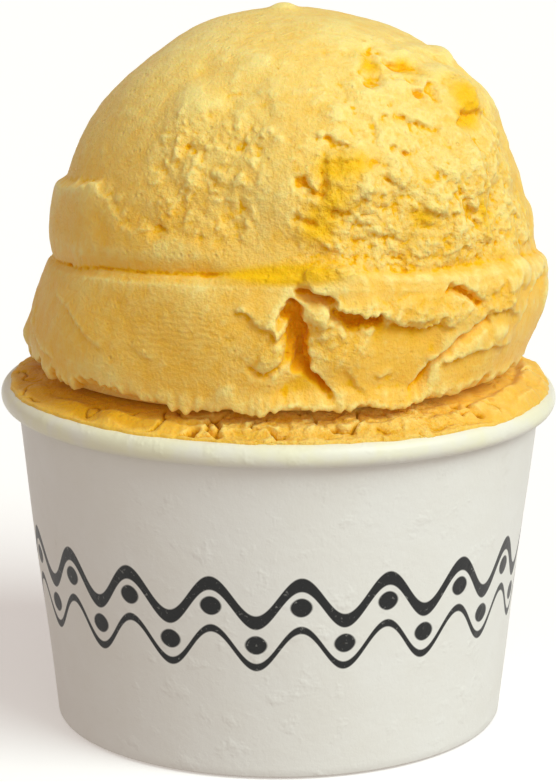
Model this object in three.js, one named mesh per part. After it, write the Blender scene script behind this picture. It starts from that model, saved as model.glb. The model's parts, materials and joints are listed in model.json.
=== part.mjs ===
// A paper cup of gelato: a rolled-rim paper cup, filled over its rim, with one large scoop on top.
// Millimetres, +Z up. The origin is the centre of the cup's foot, on the table, and the front faces -Y.
import * as THREE from "three";

// Paper cup
const RIM_RADIUS = 38; // outside of the rolled rim
const CUP_HEIGHT = 46.7; // table to the top of the rim
const FOOT_RADIUS = 30.9; // outside of the wall, on the table
const SHOULDER_RADIUS = 35.7; // outside of the wall, under the rim
const PAPER = 0.45; // thickness of the board
const CURL_WIDTH = 2.8; // the rolled rim's section, across
const CURL_HEIGHT = 3.1; // the rolled rim's section, up
const CURL_TURN = 310; // degrees of roll, from the inner wall over the top and round underneath
const FOOT_RECESS = 5.6; // table to the underside of the bottom disc
const HEM_THICKNESS = 1.1; // the wall's turned-in lower edge, folded over the disc's flange
const RIM_DIP = 0.35; // the used cup's rim sags by this at the front, and again at the right
const GAP = 0.3; // clearance between touching pieces

// Gelato packed into the cup
const FILL_LEVEL = 49.0; // its middle, under the scoop
const FILL_EDGE_RADIUS = 36.9; // how far it is spread over the rim
const FILL_SHOULDER_RADIUS = 30.5; // where it starts to fall away to the rim

// Scoop
const DOME_RADIUS = 31.4;
const DOME_RISE = 29; // from its widest ring to its crown
const DOME_CENTRE = 68.3; // the height of its widest ring
const GROOVE_LEVEL = 64.7; // where the scoop's blade cut in, above the collar
const GROOVE_DEPTH = 1.1;
const COLLAR_SHOULDER = 33.2; // radius of the squeezed-out collar just below the groove
const COLLAR_RADIUS = 34.5; // the collar at its widest
const COLLAR_WIDEST = 58;
const SKIRT_LEVEL = 50.1; // the collar's ragged lower edge
const SKIRT_RADIUS = 33.4;
const SEAT_RADIUS = 31; // the flat underside that rests on the packed gelato
const LEAN_TOP = 2.2; // the dome stands this far right of the cup's axis
const LEAN_FOOT = -0.2;
const LEAN_LEVEL = 64; // where the collar has leant all the way over
const TORN_RELIEF = 0.7; // height of the lumps on the torn side
const TORN_LUMP = 7.5; // and their spacing
const SWELL = 0.25; // the same for the gentle unevenness all over
const SWELL_LENGTH = 22;
const NUB_RISE = 0.9; // the little tip where the scoop let go
const NUB_RADIUS = 1.9;

const CUP_SEGMENTS = 64;
const SCOOP_SEGMENTS = 84;
const FRONT_CROWDING = 18; // degrees by which the scoop's segments crowd towards its front
const DOME_RINGS = 22;

const UP = new THREE.Vector3(0, 0, 1);
const rad = THREE.MathUtils.degToRad;
const { smoothstep, lerp, clamp } = THREE.MathUtils;

// Bearings are in degrees round the vertical axis: 0 is the front (-Y), 90 the right (+X).
const bearingOf = (x, y) => THREE.MathUtils.radToDeg(Math.atan2(x, -y));

// Smallest angle between two bearings, in degrees.
const bearingGap = (a, b) => Math.abs(((a - b + 540) % 360) - 180);

// 1 within `half` degrees of a bearing, easing to 0 over `fade` degrees more.
const sector = (bearing, middle, half, fade) =>
  1 - smoothstep(bearingGap(bearing, middle), half, half + fade);

// A closed solid of revolution about +Z from [radius, height] pairs that run from the top down.
function revolve(profile, segments) {
  const points = profile.map(([r, z]) => new THREE.Vector2(r, z));
  return new THREE.LatheGeometry(points.reverse(), segments).rotateX(Math.PI / 2);
}

// Points of an arc of an ellipse, from one angle to another in degrees, measured from +R towards +Z.
function ellipseArc([cr, cz], [ar, az], from, to, steps) {
  return Array.from({ length: steps + 1 }, (_, i) => {
    const a = rad(lerp(from, to, i / steps));
    return [cr + ar * Math.cos(a), cz + az * Math.sin(a)];
  });
}

// Uneven lumps with no repeat in sight: sines along directions spread by the golden angle.
// The result runs from about -1 to 1.
function lumps(p, wavelength, waves = 7) {
  const golden = Math.PI * (3 - Math.sqrt(5));
  let sum = 0;
  for (let i = 0; i < waves; i++) {
    const up = 1 - (2 * i + 1) / waves;
    const flat = Math.sqrt(1 - up * up);
    const along = p.x * flat * Math.cos(golden * i) + p.y * flat * Math.sin(golden * i) + p.z * up;
    sum += Math.sin(((2 * Math.PI) / wavelength) * (1 + 0.13 * i) * along + 1.7 * i * i);
  }
  return sum / Math.sqrt(waves);
}

const wallRadiusAt = (z) =>
  lerp(FOOT_RADIUS, SHOULDER_RADIUS, z / (CUP_HEIGHT - CURL_HEIGHT));
const curlCentre = [RIM_RADIUS - CURL_WIDTH / 2, CUP_HEIGHT - CURL_HEIGHT / 2];

// How far the rim has sagged at a point, in proportion to how near the point is to the rim.
const rimSag = (p, nearness) => (RIM_DIP * nearness * (p.x - p.y)) / RIM_RADIUS;

// The wall, with its lower edge hemmed inwards and its top edge rolled outwards into a hollow bead.
function cupWall() {
  const bead = [CURL_WIDTH / 2, CURL_HEIGHT / 2];
  const inside = bead.map((half) => half - PAPER);
  const innerWall = (z) => wallRadiusAt(z) - PAPER;
  const joint = curlCentre[1] - 0.4;
  const profile = [
    ...ellipseArc(curlCentre, bead, 180, 180 - CURL_TURN, 10),
    ...ellipseArc(curlCentre, inside, 180 - CURL_TURN, 180, 7),
    [wallRadiusAt(joint), joint],
    [FOOT_RADIUS, 0],
    [FOOT_RADIUS - HEM_THICKNESS, 0],
    [wallRadiusAt(FOOT_RECESS) - HEM_THICKNESS, FOOT_RECESS - GAP],
    [innerWall(FOOT_RECESS), FOOT_RECESS - GAP],
    [curlCentre[0] - bead[0], joint],
  ];
  return sculpt(revolve([...profile, profile[0]], CUP_SEGMENTS), (p) => {
    p.z -= rimSag(p, smoothstep(p.z, CUP_HEIGHT / 2, joint));
  });
}

// The flat bottom disc, seated on the hem.
function cupBottom() {
  const radius = wallRadiusAt(FOOT_RECESS) - PAPER - GAP;
  const rings = [0, radius / 2, radius];
  const top = rings.map((r) => [r, FOOT_RECESS + PAPER]);
  const under = rings.reverse().map((r) => [r, FOOT_RECESS]);
  return revolve([...top, ...under], CUP_SEGMENTS);
}

// Moves each vertex of a revolved solid to where `shape` says. It gets the vertex and its outward normal.
function sculpt(geometry, shape) {
  const position = geometry.getAttribute("position");
  const normals = geometry.getAttribute("normal");
  const p = new THREE.Vector3();
  const n = new THREE.Vector3();
  for (let i = 0; i < position.count; i++) {
    p.fromBufferAttribute(position, i);
    n.fromBufferAttribute(normals, i);
    if (Math.hypot(p.x, p.y) < 1e-4) {
      p.set(0, 0, p.z);
      n.set(0, 0, Math.sign(n.z));
    }
    shape(p, n);
    position.setXYZ(i, p.x, p.y, p.z);
  }
  return geometry;
}

// Gelato levelled with a spatula: it fills the cup and is smeared over the rim.
function fill() {
  const floor = FOOT_RECESS + PAPER + GAP;
  const side = (z) => wallRadiusAt(z) - PAPER - GAP;
  const neck = curlCentre[1] - 0.6;
  const overRim = [CURL_WIDTH / 2 + GAP, CURL_HEIGHT / 2 + GAP];
  const crestAngle = 180 - 96;
  const crest = ellipseArc(curlCentre, overRim, crestAngle, 180, 5);
  const crestEdge = crest[0];
  const edgeTop = crestEdge[1] + 0.35;
  const slopeRings = 7;
  const slope = Array.from({ length: slopeRings + 1 }, (_, i) => {
    const t = i / slopeRings;
    return [
      lerp(FILL_SHOULDER_RADIUS, FILL_EDGE_RADIUS, t),
      lerp(FILL_LEVEL, edgeTop, t ** 1.35),
    ];
  });
  const top = [0, SEAT_RADIUS / 2, SEAT_RADIUS - 3].map((r) => [r, FILL_LEVEL]);
  const under = [[side(neck), neck], [side(floor), floor], [0, floor]];
  const base = revolve([...top, ...slope, ...crest, ...under], CUP_SEGMENTS);
  return sculpt(base, (p) => {
    const r = Math.hypot(p.x, p.y);
    const sag = rimSag(p, smoothstep(r, FILL_EDGE_RADIUS - 3, FILL_EDGE_RADIUS - 1.5));
    if (p.z > edgeTop - 0.05) {
      const bearing = bearingOf(p.x, p.y);
      const open = smoothstep(r, SKIRT_RADIUS - 1, SKIRT_RADIUS + 0.5);
      const free = open * (1 - smoothstep(r, FILL_EDGE_RADIUS - 1, FILL_EDGE_RADIUS));
      const heap = 0.8 * sector(bearing, 82, 12, 30) + 0.4 * sector(bearing, 170, 20, 30);
      p.z += free * (heap + 0.3 * lumps(p, 9));
    }
    p.z -= sag * smoothstep(p.z, CUP_HEIGHT / 2, neck);
  });
}

// Radius of the dome at a height. Below its widest ring the side stays upright.
const domeAt = (z) => DOME_RADIUS * Math.sqrt(1 - clamp((z - DOME_CENTRE) / DOME_RISE, 0, 1) ** 2);

// Radius of the collar at a height: a barrel, fullest at COLLAR_WIDEST.
function collarAt(z) {
  const [endLevel, endRadius] =
    z > COLLAR_WIDEST ? [GROOVE_LEVEL, COLLAR_SHOULDER] : [SKIRT_LEVEL, SKIRT_RADIUS];
  return lerp(COLLAR_RADIUS, endRadius, ((z - COLLAR_WIDEST) / (endLevel - COLLAR_WIDEST)) ** 2);
}

// The scoop's outline, from its crown to the middle of its underside.
function scoopProfile() {
  const dome = ellipseArc([0, DOME_CENTRE], [DOME_RADIUS, DOME_RISE], 90, 0, DOME_RINGS);
  dome[0][0] = 0;
  const throat = [3.2, 2.1, 1.2, 0.5, 0].map((above) => [
    DOME_RADIUS - GROOVE_DEPTH * (1 - above / 3.4) ** 2,
    GROOVE_LEVEL + above,
  ]);
  const collarRings = 12;
  const collar = Array.from({ length: collarRings + 1 }, (_, i) => {
    const z = lerp(GROOVE_LEVEL - 0.5, SKIRT_LEVEL + 0.5, i / collarRings);
    return [collarAt(z), z];
  });
  const hem = [[SKIRT_RADIUS - 0.3, SKIRT_LEVEL], [SKIRT_RADIUS - 1.4, SKIRT_LEVEL - 0.1]];
  const seat = [SEAT_RADIUS, 16, 0].map((r) => [r, FILL_LEVEL + GAP]);
  return [...dome, ...throat, ...collar, ...hem, ...seat];
}

// The groove isn't quite level: it is highest at the front.
const grooveShift = (bearing) =>
  1.4 * Math.cos(rad(bearing + 25)) + 0.7 * Math.cos(rad(2 * bearing));

// The collar's lower edge hangs lowest at the front and is broken into uneven scallops.
function hemShift(bearing) {
  const scallops = 0.3 * Math.sin(rad(bearing * 23)) + 0.25 * Math.sin(rad(bearing * 9 + 40));
  const hang = 0.9 * sector(bearing, -62, 22, 14) - 0.5 * sector(bearing, 2, 28, 14);
  return scallops + hang + 0.7 * sector(bearing, 70, 12, 12);
}

// A point on the dome or collar, from its bearing and height.
function onScoop([bearing, z]) {
  const r = z > GROOVE_LEVEL ? domeAt(z) : collarAt(z);
  return new THREE.Vector3(r * Math.sin(rad(bearing)), -r * Math.cos(rad(bearing)), z);
}

// Splits in the collar, where it tore as it was squeezed out. Each runs through [bearing, height] points.
const SPLITS = [
  { path: [[1, 65.2], [7, 63.9]], width: 1.8, depth: 2.4 },
  { path: [[-2, 63], [2, 60.5], [-1, 58], [4, 54.8], [8, 52.8], [12, 50.2]], width: 2.2, depth: 3.0 },
  { path: [[-20, 62.6], [-11, 61.8], [-5, 60.2], [-1, 58]], width: 1.6, depth: 1.1 },
  { path: [[6, 63.4], [11, 61.4], [16, 60.6], [20, 61.6]], width: 1.8, depth: 2.2 },
  { path: [[38, 62.2], [46, 60.8], [52, 60.6]], width: 1.5, depth: 1.3 },
  { path: [[46, 58], [36, 55.4], [32, 52.8], [29, 50]], width: 1.9, depth: 2.3 },
  { path: [[104, 63], [112, 57], [128, 55], [134, 50.2]], width: 2.0, depth: 2.4 },
  { path: [[168, 62], [181, 58.5], [178, 52]], width: 2.0, depth: 2.1 },
  { path: [[-142, 61], [-128, 57.5], [-124, 50.2]], width: 2.0, depth: 1.9 },
];

// Lumps and hollows of the gelato's surface: bearing, height, radius and rise.
const CRAGS = [
  [76, 91.0, 3.4, 1.0], [84, 86.2, 3.2, 1.0], [88, 82.6, 3.0, 0.8], [62, 87.5, 4.6, 1.2],
  [45, 91, 3.0, -1.7], [28, 90.8, 3.0, -1.7], [57, 84.2, 2.8, -1.8], [38, 85.2, 3.2, -1.3],
  [50, 78.5, 4.2, 0.9], [28, 85.5, 2.6, -1.2], [5, 78.3, 3.2, -1.9], [13, 78, 3.2, 0.9],
  [8, 84, 2.4, -0.9], [25, 74.5, 3.8, -1.0], [40, 72.5, 4.6, 0.8], [56, 73.5, 3.6, -1.1],
  [33, 68.5, 3.4, 0.7], [-26, 80, 8.5, -0.8], [-34, 86, 3.2, 0.8], [-14, 74, 3.6, -0.7],
  [80, 61.2, 4.6, 0.7], [-88, 52.6, 2.2, 0.8], [52, 55, 4.2, 0.9],
];

// Round the back, hollows and lumps take turns.
for (let i = 0; i < 9; i++) {
  CRAGS.push([114 + 13 * i, 79 + 8.5 * Math.sin(2.4 * i), 4.8, i % 2 ? 1.2 : -1.4]);
}
const NUB = new THREE.Vector3(-1.6, 0, DOME_CENTRE + DOME_RISE); // before the dome leans

// 1 where the gelato is torn and crumbly, 0 where the scoop left it smooth.
function torn(bearing, z) {
  const above = smoothstep(z, GROOVE_LEVEL + 1, GROOVE_LEVEL + 3) * (1 - smoothstep(z, 92, 95.5));
  const right = sector(bearing, 54, 40, 14);
  const frontPatch = 0.6 * sector(bearing, -24, 12, 8) * smoothstep(z, 71, 73.5);
  const back = sector(bearing, 172, 42, 20);
  return above * Math.max(right, frontPatch, back);
}

// How deep the splits go at a point.
function splitDepth(p) {
  const nearest = new THREE.Vector3();
  let deepest = 0;
  for (const { path, width, depth } of SPLITS) {
    const points = path.map(onScoop);
    for (let i = 1; i < points.length; i++) {
      new THREE.Line3(points[i - 1], points[i]).closestPointToPoint(p, true, nearest);
      deepest = Math.max(deepest, depth * clamp(1.15 - nearest.distanceTo(p) / width, 0, 1));
    }
  }
  return deepest;
}

// How far the named crags raise or lower a point.
function cragRise(p) {
  return CRAGS.reduce((sum, [bearing, z, radius, rise]) => {
    const away = onScoop([bearing, z]).distanceTo(p) / radius;
    return sum + rise * Math.exp(-away * away);
  }, 0);
}

// The left side keeps a proud band of smooth gelato between the groove and a broken upper edge.
function bandRise(bearing, z) {
  const peak = 3.4 * Math.exp(-(((bearing + 58) / 9) ** 2));
  const edge = 73 + peak - 1.8 * smoothstep(bearing, -50, -35);
  const below = 1 - smoothstep(z, edge - 1.2, edge + 0.5);
  const height = 1.1 * sector(bearing, -95, 55, 34) + 0.5 * sector(bearing, -90, 35, 25);
  return height * below * smoothstep(z, GROOVE_LEVEL, GROOVE_LEVEL + 2.4);
}

// Between the main split and the diagonal one, the collar under its upper flap is set back.
const setBack = (bearing, z) =>
  0.8 * sector(bearing, 17, 15, 4) * (1 - smoothstep(z, 60.4, 61.6));

// On the right the dome spreads straight into the collar, with hardly any groove.
const rightFlare = (bearing, z) =>
  1.1 * sector(bearing, 92, 30, 35) * smoothstep(z, 62, GROOVE_LEVEL + 1) * (1 - smoothstep(z, 65, 74));

function scoop() {
  return sculpt(revolve(scoopProfile(), SCOOP_SEGMENTS), (p, n) => {
    const crowding = rad(-FRONT_CROWDING * Math.sin(rad(bearingOf(p.x, p.y))));
    p.applyAxisAngle(UP, crowding);
    n.applyAxisAngle(UP, crowding);
    const bearing = bearingOf(p.x, p.y);
    const skin = smoothstep(p.z, SKIRT_LEVEL + 0.1, SKIRT_LEVEL + 2); // the underside stays flat
    const nearGroove = 1 - Math.abs(p.z - GROOVE_LEVEL) / (p.z > GROOVE_LEVEL ? 26 : 14);
    p.z += skin * grooveShift(bearing) * clamp(nearGroove, 0, 1);
    const rise =
      bandRise(bearing, p.z) +
      rightFlare(bearing, p.z) +
      cragRise(p) +
      TORN_RELIEF * torn(bearing, p.z) * lumps(p, TORN_LUMP) +
      SWELL * lumps(p, SWELL_LENGTH) +
      NUB_RISE * Math.exp(-((p.distanceTo(NUB) / NUB_RADIUS) ** 2)) -
      setBack(bearing, p.z) -
      splitDepth(p);
    p.addScaledVector(n, skin * rise);
    const nearHem = 1 - smoothstep(Math.abs(p.z - SKIRT_LEVEL), 0.8, 1.4);
    p.z += nearHem * smoothstep(Math.hypot(p.x, p.y), SEAT_RADIUS, SKIRT_RADIUS) * hemShift(bearing);
    p.x += lerp(LEAN_FOOT, LEAN_TOP, smoothstep(p.z, SKIRT_LEVEL, LEAN_LEVEL));
  });
}

function piece(name, geometry, colour, roughness) {
  const material = new THREE.MeshStandardMaterial({ color: colour, roughness, metalness: 0 });
  const mesh = new THREE.Mesh(geometry, material);
  mesh.name = name;
  return mesh;
}

const gelatoCup = new THREE.Group();
gelatoCup.add(
  piece("cup_wall", cupWall(), 0xe9e8e2, 0.75),
  piece("cup_bottom", cupBottom(), 0xe9e8e2, 0.75),
  piece("packed_gelato", fill(), 0xf0bc55, 0.6),
  piece("scoop", scoop(), 0xf6cf6b, 0.6),
);

export default gelatoCup;
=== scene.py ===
"""Dresses the gelato cup: a rolled-rim paper cup, its packed gelato and one big scoop on top.

Forms are worked out in millimetres, in the CAD model's frame, and written to meshes in metres.
Bearings are in degrees round the vertical axis: 0 is the front (-Y) and 90 the right (+X).
"""

import json
import logging
import math
from dataclasses import dataclass, field
from enum import Enum

import bpy
import numpy as np
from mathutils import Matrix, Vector

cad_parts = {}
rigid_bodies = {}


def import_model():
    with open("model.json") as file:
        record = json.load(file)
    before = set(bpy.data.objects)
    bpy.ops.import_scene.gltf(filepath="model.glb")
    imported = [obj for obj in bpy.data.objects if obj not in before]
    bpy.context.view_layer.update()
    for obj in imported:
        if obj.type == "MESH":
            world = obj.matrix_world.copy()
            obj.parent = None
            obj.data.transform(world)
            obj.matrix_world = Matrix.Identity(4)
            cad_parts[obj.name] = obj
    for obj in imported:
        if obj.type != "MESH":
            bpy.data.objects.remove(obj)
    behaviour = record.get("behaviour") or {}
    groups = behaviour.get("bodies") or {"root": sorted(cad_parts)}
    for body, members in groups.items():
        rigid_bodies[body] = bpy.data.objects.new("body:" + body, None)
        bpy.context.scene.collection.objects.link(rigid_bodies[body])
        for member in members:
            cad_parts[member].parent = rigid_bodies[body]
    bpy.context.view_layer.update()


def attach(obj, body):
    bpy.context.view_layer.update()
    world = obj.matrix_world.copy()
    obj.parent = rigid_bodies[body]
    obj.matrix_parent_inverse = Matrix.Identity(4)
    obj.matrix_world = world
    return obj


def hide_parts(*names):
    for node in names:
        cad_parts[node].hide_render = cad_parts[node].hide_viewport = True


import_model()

log = logging.getLogger("gelato_cup")
MM = 0.001
BODY = "root"
GOLDEN_ANGLE = math.pi * (3 - math.sqrt(5))
MOST_TRIANGLES = 194000  # in one gelato piece
BALL_LEVELS = 3  # how often a coarse ball is split
MERGE_GAP = 1e-6  # metres


class Slot(Enum):
    """The record's material slots."""

    PAPER = "cup_paper"
    PACKED = "packed_gelato"
    SCOOP = "scoop_gelato"


class Mark(Enum):
    """What a gelato mesh remembers at each vertex for its finish, from 0 to 1."""

    # the finish paints shade into hollows and cracks
    HOLLOW = "hollow"
    # the finish paints a highlight on crests and bulges
    CREST = "crest"
    TORN = "torn"
    MOIST = "moist"
    WRINKLED = "wrinkled"


# ---------------------------------------------------------------- numbers over many points


def smoothstep(x: np.ndarray, low: float, high: float) -> np.ndarray:
    """Eases from 0 at `low` to 1 at `high`.

    Args:
        x: Where to read it.
        low: Where it starts to rise.
        high: Where it has risen.

    Returns:
        Values from 0 to 1.
    """
    t = np.clip((x - low) / (high - low), 0, 1)
    return t * t * (3 - 2 * t)


def lerp(a: float | np.ndarray, b: float | np.ndarray, t: np.ndarray) -> np.ndarray:
    """Returns the value a share t of the way from a to b."""
    return a + (b - a) * t


def bearing_of(points: np.ndarray) -> np.ndarray:
    """Returns the bearing of each point, in degrees."""
    return np.degrees(np.arctan2(points[:, 0], -points[:, 1]))


def radius_of(points: np.ndarray) -> np.ndarray:
    """Returns the distance of each point from the vertical axis."""
    return np.hypot(points[:, 0], points[:, 1])


def sector(bearing: np.ndarray, middle: float, half: float, fade: float) -> np.ndarray:
    """A share of the way round.

    Args:
        bearing: Bearings to read it at.
        middle: The sector's middle bearing.
        half: Degrees on each side in which it is 1.
        fade: Degrees more over which it eases to 0.

    Returns:
        Values from 0 to 1.
    """
    gap = np.abs((bearing - middle + 540) % 360 - 180)
    return 1 - smoothstep(gap, half, half + fade)


def lumps(points: np.ndarray, wavelength: float, waves: int = 7) -> np.ndarray:
    """Uneven lumps, as sines along directions spread by the golden angle.

    Args:
        points: Where to read them.
        wavelength: Their spacing.
        waves: How many sines are summed.

    Returns:
        Values from about -1 to 1.
    """
    total = np.zeros(len(points))
    for i in range(waves):
        up = 1 - (2 * i + 1) / waves
        flat = math.sqrt(1 - up * up)
        way = np.array([flat * math.cos(GOLDEN_ANGLE * i), flat * math.sin(GOLDEN_ANGLE * i), up])
        total += np.sin(2 * math.pi / wavelength * (1 + 0.13 * i) * (points @ way) + 1.7 * i * i)
    return total / math.sqrt(waves)


class GradientNoise:
    """Smooth noise in space, the same on every run."""

    def __init__(self, seed: int) -> None:
        """Draws the slopes.

        Args:
            seed: Picks the pattern.
        """
        rng = np.random.default_rng(seed)
        self.order = np.tile(rng.permutation(256), 3)
        slopes = rng.normal(size=(256, 3))
        self.slopes = slopes / np.linalg.norm(slopes, axis=1)[:, None]
        self.shift = rng.uniform(0, 100, 3)

    def at(self, points: np.ndarray, wavelength: float) -> np.ndarray:
        """Reads one octave.

        Args:
            points: Where to read it.
            wavelength: Its spacing.

        Returns:
            Values from about -1 to 1.
        """
        q = points / wavelength + self.shift
        cell = np.floor(q).astype(int)
        f = q - cell
        ease = f * f * f * (f * (f * 6 - 15) + 10)
        cell &= 255
        total = np.zeros(len(points))
        for corner in np.ndindex(2, 2, 2):
            x, y, z = (cell[:, k] + corner[k] for k in range(3))
            slope = self.slopes[self.order[self.order[self.order[x] + y] + z]]
            share = np.prod(np.where(corner, ease, 1 - ease), axis=1)
            total += share * np.einsum("ij,ij->i", slope, f - corner)
        return total * 1.7

    def fractal(
        self, points: np.ndarray, wavelength: float, octaves: int, gain: float = 0.5
    ) -> np.ndarray:
        """Sums octaves of finer and fainter noise.

        Args:
            points: Where to read it.
            wavelength: The coarsest spacing.
            octaves: How many octaves.
            gain: How much fainter each octave is than the one before.

        Returns:
            Values from about -1 to 1.
        """
        total, most = np.zeros(len(points)), 0.0
        for i in range(octaves):
            total += gain**i * self.at(points + 17.3 * i, wavelength / 2**i)
            most += gain ** (2 * i)
        return total / math.sqrt(most)

    def creased(
        self, points: np.ndarray, wavelength: float, octaves: int, gain: float = 0.6
    ) -> np.ndarray:
        """Sums octaves of rounded lumps with sharp creases between them.

        Args:
            points: Where to read them.
            wavelength: The coarsest spacing.
            octaves: How many octaves.
            gain: How much lower each octave is than the one before.

        Returns:
            Values from 0 in the creases to about 1.
        """
        total, most = np.zeros(len(points)), 0.0
        for i in range(octaves):
            total += gain**i * np.abs(self.at(points + 23.9 * i, wavelength / 2**i))
            most += gain**i
        return 1.6 * total / most


class Crumbs:
    """Rounded crumbs packed side by side in space."""

    def __init__(self, seed: int) -> None:
        """Draws the crumbs' places.

        Args:
            seed: Picks the pattern.
        """
        rng = np.random.default_rng(seed)
        self.order = np.tile(rng.permutation(256), 3)
        self.places = rng.uniform(0.1, 0.9, (256, 3))
        self.sizes = rng.uniform(0.6, 1.0, 256)

    def at(self, points: np.ndarray, spacing: float) -> np.ndarray:
        """Reads how far into a crumb each point is.

        Args:
            points: Where to read it.
            spacing: The size of a crumb.

        Returns:
            The height of the crumb's round top there, from 0 to 1.
        """
        q = points / spacing
        cell = np.floor(q).astype(int)
        f = q - cell
        cell &= 255
        nearest = np.full(len(points), 9.0)
        for step in np.ndindex(3, 3, 3):
            x, y, z = ((cell[:, k] + step[k] - 1) & 255 for k in range(3))
            key = self.order[self.order[self.order[x] + y] + z]
            away = np.linalg.norm(self.places[key] + (np.array(step) - 1) - f, axis=1)
            nearest = np.minimum(nearest, away / self.sizes[key])
        return np.sqrt(np.clip(1 - nearest * nearest, 0, 1))


# ---------------------------------------------------------------- surfaces


@dataclass
class Skin:
    """Points on a turned form with the directions that relief is measured along."""

    points: np.ndarray
    normals: np.ndarray
    ups: np.ndarray
    rag: np.ndarray = field(init=False)  # breaks up every torn edge
    grit: np.ndarray = field(init=False)  # puts crumbs along it
    lump: np.ndarray = field(init=False)  # keeps the torn lumps from lining up

    def __post_init__(self) -> None:
        """Works out the noise that all torn edges share."""
        self.rag = GradientNoise(11).fractal(self.points, 2.8, 4, 0.72)
        self.grit = GradientNoise(12).fractal(self.points, 1.3, 2, 0.8)
        self.lump = GradientNoise(13).fractal(self.points, 7.0, 3, 0.5)

    @property
    def bearing(self) -> np.ndarray:
        """The bearing of each point."""
        return bearing_of(self.points)

    @property
    def level(self) -> np.ndarray:
        """The height of each point."""
        return self.points[:, 2]


def turned(profile: np.ndarray, density: np.ndarray, ball: bpy.types.Object) -> Skin:
    """Wraps a ball's vertices round a profile.

    Args:
        profile: Radius and height pairs from the crown to the middle of the underside.
        density: How closely the rings lie along each stretch of the profile.
        ball: The ball, whose rings run from pole to pole.

    Returns:
        The wrapped points, with their directions.
    """
    on_ball = Modeller.read(ball)
    polar = np.arccos(np.clip(on_ball[:, 2] / np.linalg.norm(on_ball, axis=1), -1, 1)) / math.pi
    around = np.radians(bearing_of(on_ball))
    steps = np.diff(profile, axis=0)
    lengths = np.linalg.norm(steps, axis=1)
    share = np.concatenate([[0], np.cumsum(lengths * density)])
    share /= share[-1]
    facing = np.stack([-steps[:, 1], steps[:, 0]], axis=1) / lengths[:, None]
    middle = np.concatenate([facing[:1], facing[:-1] + facing[1:], facing[-1:]])
    middle /= np.linalg.norm(middle, axis=1)[:, None]
    r, z, nr, nz = (np.interp(polar, share, a) for a in (*profile.T, *middle.T))
    size = np.hypot(nr, nz)
    nr, nz = nr / size, nz / size
    east, south = np.sin(around), -np.cos(around)
    return Skin(
        np.stack([r * east, r * south, z], axis=1),
        np.stack([nr * east, nr * south, nz], axis=1),
        np.stack([-nz * east, -nz * south, nr], axis=1),
    )


def ellipse_arc(
    centre: tuple[float, float], radii: tuple[float, float], start: float, end: float, steps: int
) -> list[tuple[float, float]]:
    """Points of an ellipse's arc.

    Args:
        centre: Its radius and height.
        radii: Half its width and height.
        start: The first angle, in degrees from outwards towards up.
        end: The last angle.
        steps: How many steps the arc has.

    Returns:
        Radius and height pairs.
    """
    (r, z), (wide, high) = centre, radii
    angles = np.radians(np.linspace(start, end, steps + 1))
    return [(r + wide * math.cos(a), z + high * math.sin(a)) for a in angles]


# ---------------------------------------------------------------- work with bpy.ops


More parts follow.
